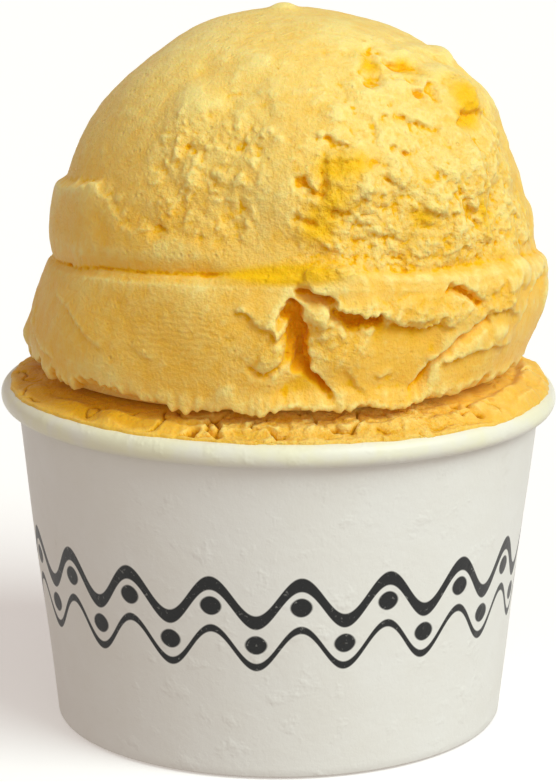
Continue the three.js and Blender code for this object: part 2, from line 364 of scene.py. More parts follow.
class Modeller:
    """Modelling steps that the pieces share."""

    @staticmethod
    def ball(name: str, segments: int, rings: int) -> bpy.types.Object:
        """Adds a ball, and nothing else is left selected.

        Args:
            name: The new object's name.
            segments: Steps round it.
            rings: Steps from pole to pole.

        Returns:
            The new object.
        """
        coarser = 2**BALL_LEVELS
        bpy.ops.object.select_all(action="DESELECT")
        bpy.ops.mesh.primitive_uv_sphere_add(
            segments=segments // coarser, ring_count=rings // coarser, radius=1
        )
        piece = bpy.context.object
        piece.name = piece.data.name = name
        levels = {"levels": BALL_LEVELS, "render_levels": BALL_LEVELS}
        Modeller.apply(piece, "SUBSURF", subdivision_type="SIMPLE", **levels)
        return piece

    @staticmethod
    def read(piece: bpy.types.Object) -> np.ndarray:
        """Returns a mesh's vertices as rows of three numbers."""
        flat = np.zeros(len(piece.data.vertices) * 3, np.float32)
        piece.data.vertices.foreach_get("co", flat)
        return flat.reshape(-1, 3).astype(float)

    @staticmethod
    def write(piece: bpy.types.Object, points: np.ndarray) -> None:
        """Moves a mesh's vertices.

        Args:
            piece: The object whose mesh changes.
            points: The new places, one row each.
        """
        piece.data.vertices.foreach_set("co", points.astype(np.float32).ravel())
        piece.data.update()

    @staticmethod
    def normals(piece: bpy.types.Object) -> np.ndarray:
        """Returns the direction in which each vertex faces."""
        flat = np.zeros(len(piece.data.vertices) * 3, np.float32)
        piece.data.vertex_normals.foreach_get("vector", flat)
        return flat.reshape(-1, 3).astype(float)

    @staticmethod
    def apply(piece: bpy.types.Object, kind: str, **settings: object) -> None:
        """Adds a modifier and applies it.

        Args:
            piece: The object to change.
            kind: The modifier's type.
            **settings: The modifier's properties.
        """
        bpy.context.view_layer.objects.active = piece
        modifier = piece.modifiers.new(kind.title(), kind)
        for key, value in settings.items():
            setattr(modifier, key, value)
        bpy.ops.object.modifier_apply(modifier=modifier.name)

    @staticmethod
    def triangles(piece: bpy.types.Object) -> int:
        """Returns how many triangles a mesh comes to."""
        piece.data.calc_loop_triangles()
        return len(piece.data.loop_triangles)

    @staticmethod
    def thin(piece: bpy.types.Object, most: int) -> None:
        """Takes faces out where the surface is flattest.

        Args:
            piece: The object to thin.
            most: The most triangles that it may keep.
        """
        count = Modeller.triangles(piece)
        if count > most:
            Modeller.apply(piece, "DECIMATE", ratio=most / count)

    @staticmethod
    def pick(piece: bpy.types.Object) -> None:
        """Makes a piece the only one selected, and the active one."""
        bpy.ops.object.select_all(action="DESELECT")
        piece.select_set(True)
        bpy.context.view_layer.objects.active = piece

    @staticmethod
    def drop_strays(piece: bpy.types.Object) -> None:
        """Removes whatever isn't joined to the highest vertex."""
        points = Modeller.read(piece)
        Modeller.pick(piece)
        bpy.ops.object.mode_set(mode="EDIT")
        bpy.ops.mesh.select_mode(type="VERT")
        bpy.ops.mesh.select_all(action="DESELECT")
        bpy.ops.object.mode_set(mode="OBJECT")
        piece.data.vertices[int(points[:, 2].argmax())].select = True
        bpy.ops.object.mode_set(mode="EDIT")
        bpy.ops.mesh.select_linked()
        bpy.ops.mesh.select_all(action="INVERT")
        bpy.ops.mesh.delete(type="VERT")
        bpy.ops.object.mode_set(mode="OBJECT")
        strays = len(points) - len(piece.data.vertices)
        log.info("%s: %d stray vertices removed", piece.name, strays)

    @staticmethod
    def mark(piece: bpy.types.Object, mark: Mark, values: np.ndarray) -> None:
        """Stores a number at each vertex for the finish to read.

        Args:
            piece: The object whose mesh is marked.
            mark: What the number says.
            values: The numbers, kept within 0 and 1.
        """
        attribute = piece.data.attributes.new(mark.value, "FLOAT", "POINT")
        attribute.data.foreach_set("value", np.clip(values, 0, 1).astype(np.float32))

    @staticmethod
    def settle(piece: bpy.types.Object, slot: Slot, *nodes: str) -> None:
        """Makes a finished mesh a piece of the object.

        Args:
            piece: The finished object.
            slot: Where its finish comes from; not used.
            *nodes: The CAD nodes that it stands for.
        """
        Modeller.pick(piece)
        bpy.ops.object.mode_set(mode="EDIT")
        bpy.ops.mesh.select_all(action="SELECT")
        bpy.ops.mesh.remove_doubles(threshold=MERGE_GAP)
        bpy.ops.mesh.normals_make_consistent(inside=False)
        bpy.ops.object.mode_set(mode="OBJECT")
        bpy.ops.object.shade_smooth()
        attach(piece, BODY)
        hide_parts(*nodes)
        log.info("%s: %d triangles", piece.name, Modeller.triangles(piece))


class Lie:
    """How each vertex lies among its neighbours."""

    def __init__(self, piece: bpy.types.Object) -> None:
        """Reads the mesh.

        Args:
            piece: The object to read, in millimetres.
        """
        self.points = Modeller.read(piece)
        self.normals = Modeller.normals(piece)
        flat = np.zeros(len(piece.data.edges) * 2, np.int32)
        piece.data.edges.foreach_get("vertices", flat)
        ends = flat.reshape(-1, 2)
        self.start = np.concatenate([ends[:, 0], ends[:, 1]])
        self.end = np.concatenate([ends[:, 1], ends[:, 0]])
        self.count = np.maximum(np.bincount(self.start, minlength=len(self.points)), 1)

    def blurred(self, values: np.ndarray, rounds: int) -> np.ndarray:
        """Averages values over the surface.

        Args:
            values: One number or one row of three for each vertex.
            rounds: How many times each vertex takes its neighbours' mean.

        Returns:
            The averaged values.
        """
        columns = values.reshape(len(values), -1).T.copy()
        for _ in range(rounds):
            for i, column in enumerate(columns):
                total = np.bincount(self.start, column[self.end], len(column))
                columns[i] = 0.5 * column + 0.5 * total / self.count
        return columns.T.reshape(values.shape)

    def depth(self, rounds: int) -> np.ndarray:
        """How far each vertex lies below the surface averaged round it.

        Args:
            rounds: How widely the surface is averaged.

        Returns:
            Depths in millimetres, negative on crests.
        """
        return np.einsum("ij,ij->i", self.blurred(self.points, rounds) - self.points, self.normals)


# ---------------------------------------------------------------- features of the scoop's surface


@dataclass(frozen=True)
class Trail:
    """A line over the scoop, through points of bearing and height."""

    path: tuple[tuple[float, float], ...]

    def near(
        self, form: "ScoopForm", skin: Skin, reach: float
    ) -> tuple[np.ndarray, np.ndarray, np.ndarray]:
        """Measures the points near the line.

        Args:
            form: The scoop that the line lies on.
            skin: The points to measure.
            reach: How far from the line they may be.

        Returns:
            Which points are near, how far each is from the line (positive to the left of its way,
            which is above a line that runs rightwards), and how far along it is, from 0 to 1.
        """
        stops = form.on_surface(np.array(self.path))
        middle = (stops.min(0) + stops.max(0)) / 2
        half = np.linalg.norm(stops.max(0) - middle) + reach
        which = np.flatnonzero(np.linalg.norm(skin.points - middle, axis=1) < half)
        points, normals = skin.points[which], skin.normals[which]
        steps = np.diff(stops, axis=0)
        lengths = np.linalg.norm(steps, axis=1)
        starts = np.concatenate([[0], np.cumsum(lengths)])
        best = np.full(len(which), 1e9)
        signed, along = np.zeros(len(which)), np.zeros(len(which))
        for i, step in enumerate(steps):
            t = np.clip((points - stops[i]) @ step / lengths[i] ** 2, 0, 1)
            offset = points - stops[i] - t[:, None] * step
            away = np.linalg.norm(offset, axis=1)
            closer = away < best
            side = np.sign(np.einsum("ij,ij->i", offset, np.cross(normals, step)))
            best = np.where(closer, away, best)
            signed = np.where(closer, side * away, signed)
            along = np.where(closer, (starts[i] + t * lengths[i]) / starts[-1], along)
        return which, signed, along


@dataclass(frozen=True)
class Split:
    """A crack where the collar tore."""

    trail: Trail
    width: float
    depth: float
    rag: float = 0.4

    def carve(self, form: "ScoopForm", skin: Skin, relief: np.ndarray) -> None:
        """Cuts the crack.

        Args:
            form: The scoop.
            skin: The points to move.
            relief: Their heights, changed in place.
        """
        which, away, _ = self.trail.near(form, skin, self.width * 1.6)
        ragged = np.abs(away + self.rag * skin.rag[which])
        cut = 1 - smoothstep(ragged, 0.3 * self.width, 0.85 * self.width)
        relief[which] = np.minimum(relief[which], lerp(relief[which], -self.depth, cut))


@dataclass(frozen=True)
class Shelf:
    """A torn edge: the gelato stands proud to the left of the line and is set back to its right."""

    trail: Trail
    rise: float
    reach: float
    drop: float
    floor: float
    rag: float = 0.35
    ends: float = 0.12
    soft: float = 0.1  # how far the edge takes to rise

    def carve(self, form: "ScoopForm", skin: Skin, relief: np.ndarray) -> None:
        """Raises one side of the line and lowers the other.

        Args:
            form: The scoop.
            skin: The points to move.
            relief: Their heights, changed in place.
        """
        which, away, along = self.trail.near(form, skin, 3.2 * max(self.reach, self.floor))
        away = away + self.rag * skin.rag[which]
        fade = smoothstep(along, 0, self.ends) * (1 - smoothstep(along, 1 - self.ends, 1))
        proud = self.rise * np.exp(-np.maximum(away, 0) / self.reach)
        back = self.drop * np.exp(-np.maximum(-away, 0) / self.floor)
        relief[which] += fade * lerp(-back, proud, smoothstep(away, -self.soft, self.soft))
        crumbs = np.maximum(skin.grit[which], -0.2) * np.exp(-(((away - 0.3) / 0.8) ** 2))
        relief[which] += fade * 0.5 * min(self.rise, 0.6) / 0.6 * crumbs


@dataclass(frozen=True)
class Spot:
    """A pit (negative rise) or a blob (positive rise)."""

    bearing: float
    level: float
    radius: float
    rise: float
    tall: float = 1.0  # its height, as a share of its width
    rag: float = 0.3

    def carve(self, form: "ScoopForm", skin: Skin, relief: np.ndarray) -> None:
        """Raises or lowers the points of the spot.

        Args:
            form: The scoop.
            skin: The points to move.
            relief: Their heights, changed in place.
        """
        centre = form.on_surface(np.array([[self.bearing, self.level]]))[0]
        offset = skin.points - centre
        which = np.flatnonzero(np.einsum("ij,ij->i", offset, offset) < (2.2 * self.radius) ** 2)
        offset = offset[which]
        up = np.einsum("ij,ij->i", offset, skin.ups[which])
        across = np.sqrt(np.maximum(np.einsum("ij,ij->i", offset, offset) - up * up, 0))
        away = np.hypot(across, up / self.tall) / self.radius + self.rag * skin.rag[which]
        if self.rise < 0:
            wide = across / self.radius + 0.6 * self.rag * skin.rag[which]
            side = 1 - smoothstep(wide, 0.35, 1.1)
            high = up / (self.radius * self.tall) + 1.7 * self.rag * skin.rag[which] - 0.45
            slope = np.clip((high + 2.1) / 2.1, 0, 1) ** 1.4 * (1 - smoothstep(high, -0.12, 0.12))
            lip = 0.2 * np.exp(-np.maximum(high, 0) / 0.5) * smoothstep(high, -0.12, 0.12)
            relief[which] += 0.75 * self.rise * side * (slope - lip)
        else:
            relief[which] += self.rise * np.sqrt(np.clip(1 - away**2, 0, 1))


# path of bearings and heights, width, depth, rag
SPLITS = tuple(
    Split(Trail(path), *sizes)
    for path, *sizes in (
        (((1, 64.6), (4.2, 64.0), (7, 63.6)), 1.3, 2.6),
        (((-1.4, 62.6), (0.4, 61.0), (0.4, 59.2), (2.4, 57.6), (3.2, 56.2)), 1.9, 3.0, 1.1),
        (((3, 56.9), (3.9, 55.2), (8.2, 53.1), (11.6, 51), (11.2, 49.6)), 0.85, 2.4, 0.5),
        (((8.5, 62), (11.2, 61.4), (14.6, 60.7), (18.6, 61.0)), 1.4, 2.2, 0.7),
        (((-6.5, 55.3), (-3.8, 54.1), (-1.4, 55.1), (0.4, 56.6)), 0.6, 0.9),
        (((16.7, 65.1), (18.3, 63.8), (20.7, 64.1), (22.2, 63.6), (25.4, 64.2)), 0.45, 0.8),
        (((35.7, 64), (38.5, 63.6), (41.2, 62.9), (44.8, 61.7)), 0.9, 1.3, 0.6),
        (((47, 59.3), (42.3, 58.2), (39.2, 57.2), (38, 56.1)), 0.9, 1.5),
        (((38, 56.1), (34.9, 54.7), (33.6, 53), (30.9, 51.3), (30.7, 49.9)), 0.8, 2.3),
        (((28.5, 90), (28.5, 91.3), (32, 92), (38, 93)), 1.8, 0.7, 1.0),
        (((40, 91.7), (45, 91.1), (49, 90.9), (51, 90.4)), 1.5, 0.8, 0.8),
        (((44, 87.8), (50, 88.5), (48, 87)), 1.2, 0.6, 0.8),
        (((36, 89.7), (40, 89.4), (45, 89.2)), 0.7, 0.4, 0.7),
        (((22, 84.6), (21, 82.6)), 0.8, 0.5, 0.5),
        (((6.5, 83.2), (9, 82.6), (12, 82.3)), 1.0, 0.4, 0.9),
        (((7, 81.3), (7, 79.5)), 0.8, 0.4, 0.9),
        (((1.5, 78.2), (4, 76.9), (5.5, 76.9), (6, 78.8)), 1.2, 0.85, 1.0),
        (((0.5, 74), (3, 73.2)), 1.0, 0.45, 0.7),
        (((8.5, 74.7), (12, 74.4)), 0.8, 0.45, 0.7),
        (((42, 75.6), (44, 73.6), (47, 71.8)), 1.2, 0.6, 1.1),
        (((16.5, 71.2), (21, 71)), 0.9, 0.5, 1.0),
        (((104, 63), (112, 57), (128, 55), (134, 50.2)), 1.3, 2.0, 1.2),
        (((168, 62), (181, 58.5), (178, 52)), 1.2, 1.8, 1.2),
        (((-142, 61), (-128, 57.5), (-124, 50.2)), 1.2, 1.6, 1.2),
    )
)

# path of bearings and heights, rise, reach, drop, floor, rag, ends, soft
SHELVES = tuple(
    Shelf(Trail(path), *sizes)
    for path, *sizes in (
        # the plates round the main crack
        (((0.5, 65.4), (4.2, 64.6), (6.3, 63.9), (9, 62.8), (12.8, 62), (15.6, 61.4),
            (19.4, 62.3)), 0.75, 4.5, 0.9, 1.6, 0.45),
        (((17.3, 61.6), (21.8, 61.1), (23.6, 60.3), (29.4, 59.8), (33, 60.3), (37.6, 59)),
            0.5, 2.2, 0.8, 3.0, 0.5),
        (((36, 54.6), (40.8, 55.2), (46, 55.7), (51.1, 55.9), (60, 55.3)),
            0.5, 1.6, 0.5, 2.5, 0.45),
        (((-13.5, 62.9), (-10.4, 62), (-6.7, 60.5), (-4.6, 60.6), (-1.8, 58.6)),
            0.45, 2.0, 0.7, 1.2, 0.5),
        (((0.8, 55.2), (-1.2, 57), (-0.6, 59), (-1.6, 61), (-2.6, 63.4)),
            0.2, 2.2, 1.6, 2.2, 0.7, 0.12),
        (((4.0, 55.8), (8.0, 53.4), (11.4, 51)), 0.3, 1.8, 0.5, 1.6, 0.5, 0.2),
        (((13.2, 55.4), (15.2, 54.3), (17.4, 52.4), (20.8, 50.8)),
            0.35, 1.6, 0.35, 1.2, 0.3, 0.2),
        (((19.5, 54), (23, 53.7), (26.4, 54.2)), 0.25, 1.0, 0.25, 0.9, 0.3, 0.3),
        (((31, 51.2), (34.5, 54.2), (38.5, 56.6), (44, 58.6)), 0.3, 2.0, 0.3, 1.6, 0.3),
        (((46, 60.9), (53, 60.2), (60, 59.0)), 0.4, 1.4, 0.4, 2.0, 0.5, 0.2),
        (((60, 56.5), (62, 60), (66, 62.3), (78, 63.4)), 0.5, 1.8, 1.1, 3.4, 0.5, 0.2, 0.3),
        # smears and folds on the left of the collar
        (((-68, 61.4), (-56.4, 60), (-48.8, 57.4), (-41.5, 55.9)), 0.18, 1.5, 0.24, 1.0, 0.08),
        (((-36.4, 57.2), (-32, 56.1), (-28, 55.4)), 0.12, 1.0, 0.22, 0.8, 0.08, 0.3),
        (((-82.4, 55.4), (-70, 54.2), (-59.6, 52.9)), 0.3, 1.4, 0.35, 1.2, 0.15, 0.2),
        (((-90, 59.5), (-80, 57.8), (-72, 55.0)), 0.25, 1.4, 0.3, 1.4, 0.1, 0.25),
        # torn layers on the right flank of the dome
        (((25, 86.2), (32, 85.6), (35, 85), (40, 84.6), (44, 83.5)), 0.3, 2.2, 0.65, 1.5, 0.9),
        (((49, 84.1), (57, 85), (68, 84.2)), 0.45, 2.5, 0.85, 1.6, 0.9),
        (((8, 80.5), (11, 81), (17, 80.6)), 0.3, 1.5, 0.45, 1.2, 0.9),
        (((15, 76.8), (18, 75.4), (22.5, 75)), 0.35, 1.6, 0.5, 1.4, 0.9),
        (((19.5, 79.4), (25, 78)), 0.25, 1.3, 0.45, 1.2, 0.9, 0.25),
        (((36, 79), (42, 76.8)), 0.3, 1.5, 0.5, 1.3, 0.9, 0.25),
        (((29.5, 75.6), (34, 73.9), (42, 73.7)), 0.4, 1.9, 0.5, 2.2, 0.9),
        (((12.5, 73.8), (18.5, 73.2)), 0.3, 1.4, 0.45, 1.2, 0.9, 0.25),
        (((19.5, 69.6), (24, 68.9), (30, 68.6)), 0.3, 1.3, 0.45, 1.2, 0.9),
        (((30, 66.4), (37, 67.3)), 0.25, 1.0, 0.5, 1.0, 0.6, 0.25),
        (((44, 70.5), (50, 69.6), (57, 70.4)), 0.3, 1.5, 0.45, 1.4, 0.9, 0.25),
        (((24, 82.6), (31, 81.4), (36, 82.2)), 0.25, 1.5, 0.5, 1.4, 0.7, 0.25),
        # the upper and right side of the scar in the front of the dome
        (((-34, 90.3), (-26, 90.3), (-17, 89.4), (-10, 88), (-7, 86), (-8, 83), (-9.5, 78)),
            0.0, 4.0, 0.95, 4.5, 0.9, 0.35, 2.0),
    )
)

# bearing, height, radius, rise, tallness, rag
SPOTS = tuple(
    Spot(*row)
    for row in (
        # dimples in the right flank
        (15, 93.2, 1.3, -0.3, 0.7), (22, 93.0, 1.4, -0.35, 0.7), (22, 92.0, 0.8, -0.3, 0.8),
        (15, 90.1, 1.0, -0.25, 0.7), (15.2, 88.2, 1.2, -0.45, 0.8),
        (17.6, 86.4, 0.7, -0.6, 2.2, 0.4), (11.5, 84.7, 1.8, -0.45, 0.35, 0.6),
        (30.0, 80.2, 0.9, -0.5, 2.2, 0.7), (76.0, 68.0, 1.6, -0.9, 1.2, 0.4),
        # the wet lobe, and blobs that stand proud
        (58.0, 87.0, 3.2, 0.5, 0.6, 0.5), (68.0, 87.8, 2.2, 0.5, 0.7, 0.4),
        (62.0, 85.8, 1.6, 0.35, 0.6, 0.5), (54.0, 92.4, 1.6, 0.4, 0.5),
        (-53.0, 76.0, 1.2, 0.35, 0.8, 0.5), (-48.0, 74.9, 1.0, 0.35, 0.8, 0.5),
        (-44.5, 73.2, 0.9, 0.3, 1.0, 0.5), (13.0, 76.2, 2.8, 0.55, 0.9, 0.35),
        (33.0, 75.4, 2.2, 0.6, 1.2, 0.4), (44.0, 79.0, 2.6, 0.5, 0.7, 0.4),
        (74.0, 90.6, 1.6, 0.5, 0.8), (60.0, 64.8, 2.6, 0.6, 1.3), (55.0, 63.0, 1.8, 0.4, 1.0),
        # the scar left of the middle
        (-21.0, 87.8, 1.3, -0.5, 1.6, 0.3), (-15.0, 86.4, 2.4, -0.35, 0.8, 0.3),
        (-30.0, 81.2, 1.3, -0.45, 1.4, 0.5), (-20.0, 80.3, 1.4, -0.5, 0.5, 0.5),
        (-15.2, 82.2, 1.0, -0.5, 1.0, 0.5), (-9.0, 81.4, 1.4, -0.35, 1.6, 0.35),
        (-8.0, 84.2, 1.1, 0.4, 0.8), (-4.5, 83.4, 0.9, 0.3, 0.8),
        (-13.5, 75.2, 1.1, -0.45, 1.6, 0.5), (-33.5, 71.5, 1.5, -1.0, 0.6, 0.4),
        (-22.5, 71.2, 1.2, -0.8, 0.8, 0.4), (-18.5, 71.0, 1.1, -0.5, 0.7, 0.4),
        # nicks, blobs and a drip on the collar
        (-41.2, 62.3, 0.8, -0.45, 0.45), (-37.6, 61.6, 0.7, -0.35, 0.5),
        (-13.0, 59.0, 0.9, -0.5, 0.5), (-9.8, 56.6, 1.0, -0.45, 0.4),
        (-8.4, 61.2, 1.1, -0.5, 0.9), (-2.6, 61.4, 1.1, 0.2, 1.6),
        (5.6, 62.0, 1.8, 0.75, 0.9, 0.5), (8.6, 59.8, 2.2, 0.45, 0.8, 0.5),
        (-11.2, 52.2, 1.3, 0.35, 1.1, 0.1), (-3.6, 56.2, 1.6, 0.25, 1.1, 0.5),
        (33.8, 55.9, 1.0, 0.5, 0.6), (52.0, 57.8, 1.8, 0.5, 0.7), (-80.0, 56.8, 1.6, 0.5, 0.8),
        (13.5, 51.4, 1.6, 0.5, 0.8, 0.5),
    )
)


@dataclass(frozen=True)
class ScoopForm:
    """The scoop's main form: the same sizes and swells as its CAD solid."""

    dome_radius: float = 31.4
    dome_rise: float = 29.0
    dome_centre: float = 68.3
    groove_level: float = 64.7
    groove_depth: float = 1.1
    collar_shoulder: float = 33.2
    collar_radius: float = 34.5
    collar_widest: float = 58.0
    skirt_level: float = 50.1
    skirt_radius: float = 33.4
    seat_radius: float = 31.0
    seat_level: float = 49.3
    lean_top: float = 2.2
    lean_foot: float = -0.2
    lean_level: float = 64.0
    torn_relief: float = 0.7
    torn_lump: float = 7.5
    swell: float = 0.25
    swell_length: float = 22.0
    nub_rise: float = 0.9
    nub_radius: float = 1.9
    band_top: tuple[tuple[float, float], ...] = (
        (-180, 72.5), (-110, 73.5), (-80, 75), (-71, 75.3), (-63, 76.2), (-56, 76.3), (-50, 75),
        (-46, 73.1), (-42, 71.9), (-33, 71.5), (-29, 71.1), (-16, 70.8), (0, 70.5), (180, 70.5),
    )
    band_height: float = 0.95
    band_fullness: float = 0.4
    band_bulge: float = 0.6
    throat: float = 3.4  # how high above the groove the dome starts to narrow into it
    throat_fill: float = 0.7
    bridge: float = 1.2  # where the groove closes in front
    flare: float = 1.1
    chamfer: float = 0.35
    shallowing: float = 1.1
    backing: float = 0.8
    torn_order: float = 0.35
    torn_disorder: float = 0.7

    def dome_at(self, z: np.ndarray) -> np.ndarray:
        """Returns the dome's radius at some heights."""
        up = np.clip((z - self.dome_centre) / self.dome_rise, 0, 1)
        return self.dome_radius * np.sqrt(1 - up * up)

    def collar_at(self, z: np.ndarray) -> np.ndarray:
        """Returns the collar's radius at some heights: a barrel, fullest at its middle."""
        above = z > self.collar_widest
        end = np.where(above, self.groove_level, self.skirt_level)
        radius = np.where(above, self.collar_shoulder, self.skirt_radius)
        share = (z - self.collar_widest) / (end - self.collar_widest)
        return lerp(self.collar_radius, radius, share**2)

    def on_surface(self, spots: np.ndarray) -> np.ndarray:
        """Places points on the dome or the collar.

        Args:
            spots: Rows of bearing and height.

        Returns:
            The points in space.
        """
        around, z = np.radians(spots[:, 0]), spots[:, 1]
        r = np.where(z > self.groove_level, self.dome_at(z), self.collar_at(z))
        return np.stack([r * np.sin(around), -r * np.cos(around), z], axis=1)

    def profile(self) -> tuple[np.ndarray, np.ndarray]:
        """The outline from the crown to the middle of the underside.

        Returns:
            Radius and height pairs, and how closely rings lie along each stretch.
        """
        dome = ellipse_arc((0, self.dome_centre), (self.dome_radius, self.dome_rise), 90, 0, 160)
        above = np.linspace(3.2, 0, 16)
        deep = [self.groove_depth * (1 - a / self.throat) ** 2 for a in above]
        throat = [(self.dome_radius - d, self.groove_level + a) for d, a in zip(deep, above)]
        shoulder = ellipse_arc(
            (self.collar_shoulder - 1.0, self.groove_level - 0.85), (0.95, 0.8), 90, 10, 8
        )
        levels = np.linspace(self.groove_level - 1.0, self.skirt_level + 0.5, 60)
        collar = list(zip(self.collar_at(levels), levels))
        hem = [
            (self.skirt_radius - 0.3, self.skirt_level),
            (self.skirt_radius - 1.4, self.skirt_level - 0.1),
        ]
        visible = [*dome, *throat, *shoulder, *collar, *hem]
        seat = [(self.seat_radius, self.seat_level), (16, self.seat_level), (0, self.seat_level)]
        density = [1.0] * len(visible) + [0.25, 0.25]
        return np.array([*visible, *seat]), np.array(density)

    def groove_shift(self, bearing: np.ndarray) -> np.ndarray:
        """Returns how much higher the groove is at some bearings than its level."""
        return 1.4 * np.cos(np.radians(bearing + 25)) + 0.7 * np.cos(np.radians(2 * bearing))

    def groove_at(self, bearing: np.ndarray) -> np.ndarray:
        """Returns the height of the foot of the groove at some bearings."""
        return self.groove_level + self.groove_shift(bearing)

    def hem_shift(self, bearing: np.ndarray) -> np.ndarray:
        """Returns how much higher the collar's lower edge is at some bearings than its level."""
        scallops = 0.3 * np.sin(np.radians(bearing * 23))
        scallops = scallops + 0.25 * np.sin(np.radians(bearing * 9 + 40))
        hang = 0.9 * sector(bearing, -62, 22, 14) - 0.5 * sector(bearing, 2, 28, 14)
        return scallops + hang + 0.7 * sector(bearing, 70, 12, 12)

    def torn(self, bearing: np.ndarray, z: np.ndarray) -> np.ndarray:
        """Returns 1 where the gelato is torn and crumbly, 0 where the blade left it smooth."""
        above = smoothstep(z, self.groove_level + 1, self.groove_level + 3)
        above = above * (1 - smoothstep(z, 92, 95.5))
        patch = 0.6 * sector(bearing, -24, 12, 8) * smoothstep(z, 71, 73.5)
        sides = np.maximum(sector(bearing, 54, 40, 14), sector(bearing, 172, 42, 20))
        return above * np.maximum(sides, patch)

    def band_edge(self, bearing: np.ndarray) -> np.ndarray:
        """Returns the height of the broken upper edge of the band on the left."""
        return np.interp(bearing, *zip(*self.band_top))

    def band_rise(self, bearing: np.ndarray, z: np.ndarray, rag: np.ndarray) -> np.ndarray:
        """The proud band of smooth gelato above the groove on the left.

        Args:
            bearing: Bearings of the points.
            z: Their heights.
            rag: Noise that breaks up the band's upper edge.

        Returns:
            How far the band stands proud.
        """
        edge = self.band_edge(bearing)
        broken = lerp(0.9, 0.3, smoothstep(-bearing, 57, 66))
        fallen = (z + broken * rag - edge) / lerp(1.8, 0.9, smoothstep(broken, 0.4, 0.8))
        below = 1 - smoothstep(fallen, -0.75, 0.25)
        height = self.band_height * sector(bearing, -100, 38, 15)
        height = height + self.band_fullness * sector(bearing, -75, 34, 28)
        above = z - self.groove_at(bearing)
        bulge = self.band_bulge * sector(bearing, -40, 30, 28)
        bulge = bulge * np.exp(-(((above - 2.0) / 2.2) ** 2))
        bridge = self.bridge * sector(bearing, -2, 9, 11) * np.exp(-(((above - 0.5) / 1.3) ** 2))
        filled = self.throat_fill * sector(bearing, -50, 48, 20) * self.groove_depth
        filled = filled * (1 - np.clip(above, 0, self.throat) / self.throat) ** 2
        return (height * below + bulge + filled) * smoothstep(above, -0.05, 0.6) + bridge

    def main_rise(self, skin: Skin) -> np.ndarray:
        """The swells of the main form.

        Args:
            skin: The points to move.

        Returns:
            How far each is raised.
        """
        bearing, z, points = skin.bearing, skin.level, skin.points
        flare = self.flare * sector(bearing, 92, 30, 35) * smoothstep(z, 62, self.groove_level + 1)
        back = self.backing * sector(bearing, 17, 15, 4) * (1 - smoothstep(z, 60.4, 61.6))
        shallow = self.shallowing * sector(bearing, 55, 40, 22)
        shallow = shallow * np.exp(-(((z - self.groove_at(bearing) - 0.5) / 1.5) ** 2))
        under = self.groove_at(bearing) - z
        chamfer = np.exp(-np.maximum(under - 0.4, 0) / 1.5) * (under > -0.05)
        lip = self.chamfer * sector(bearing, -50, 45, 22) * chamfer
        uneven = self.torn_order * lumps(points, self.torn_lump) + self.torn_disorder * skin.lump
        nub = np.array([-1.6, 0, self.dome_centre + self.dome_rise])
        from_nub = np.linalg.norm(points - nub, axis=1) / self.nub_radius
        return (
            self.band_rise(bearing, z, skin.rag)
            + flare * (1 - smoothstep(z, 65, 74))
            + shallow
            - back
            - lip
            + self.torn_relief * self.torn(bearing, z) * uneven
            + self.swell * lumps(points, self.swell_length)
            + self.nub_rise * np.exp(-(from_nub**2))
            + self.crag_rise(points)
        )

    def crag_rise(self, points: np.ndarray) -> np.ndarray:
        """Returns how far the big lumps and hollows raise or lower some points."""
        crags = [
            (76, 91, 3.4, 1), (84, 86.2, 3.2, 1), (88, 82.6, 3, 0.8), (62, 87.5, 4.6, 1.2),
            (50, 78.5, 4.2, 0.9), (13, 78, 3.2, 0.9), (25, 74.5, 3.8, -1), (40, 72.5, 4.6, 0.8),
            (56, 73.5, 3.6, -1.1), (33, 68.5, 3.4, 0.7), (-26, 80, 8.5, -0.8), (-34, 86, 3.2, 0.8),
            (-14, 74, 3.6, -0.7), (80, 61.2, 4.6, 0.7), (-88, 53.4, 2.0, 1.0), (52, 55, 4.2, 0.9),
        ]
        behind = [
            (114 + 13 * i, 79 + 8.5 * math.sin(2.4 * i), 4.8, 1.2 if i % 2 else -1.4)
            for i in range(9)
        ]
        total = np.zeros(len(points))
        for bearing, z, radius, rise in crags + behind:
            away = np.linalg.norm(points - self.on_surface(np.array([[bearing, z]]))[0], axis=1)
            total += rise * np.exp(-((away / radius) ** 2))
        return total

    def lean(self, points: np.ndarray) -> np.ndarray:
        """Returns how far right each point leans."""
        share = smoothstep(points[:, 2], self.skirt_level, self.lean_level)
        return lerp(self.lean_foot, self.lean_top, share)

    def upright(self, points: np.ndarray) -> np.ndarray:
        """Returns the points without their lean."""
        moved = points.copy()
        moved[:, 0] -= self.lean(points)
        return moved


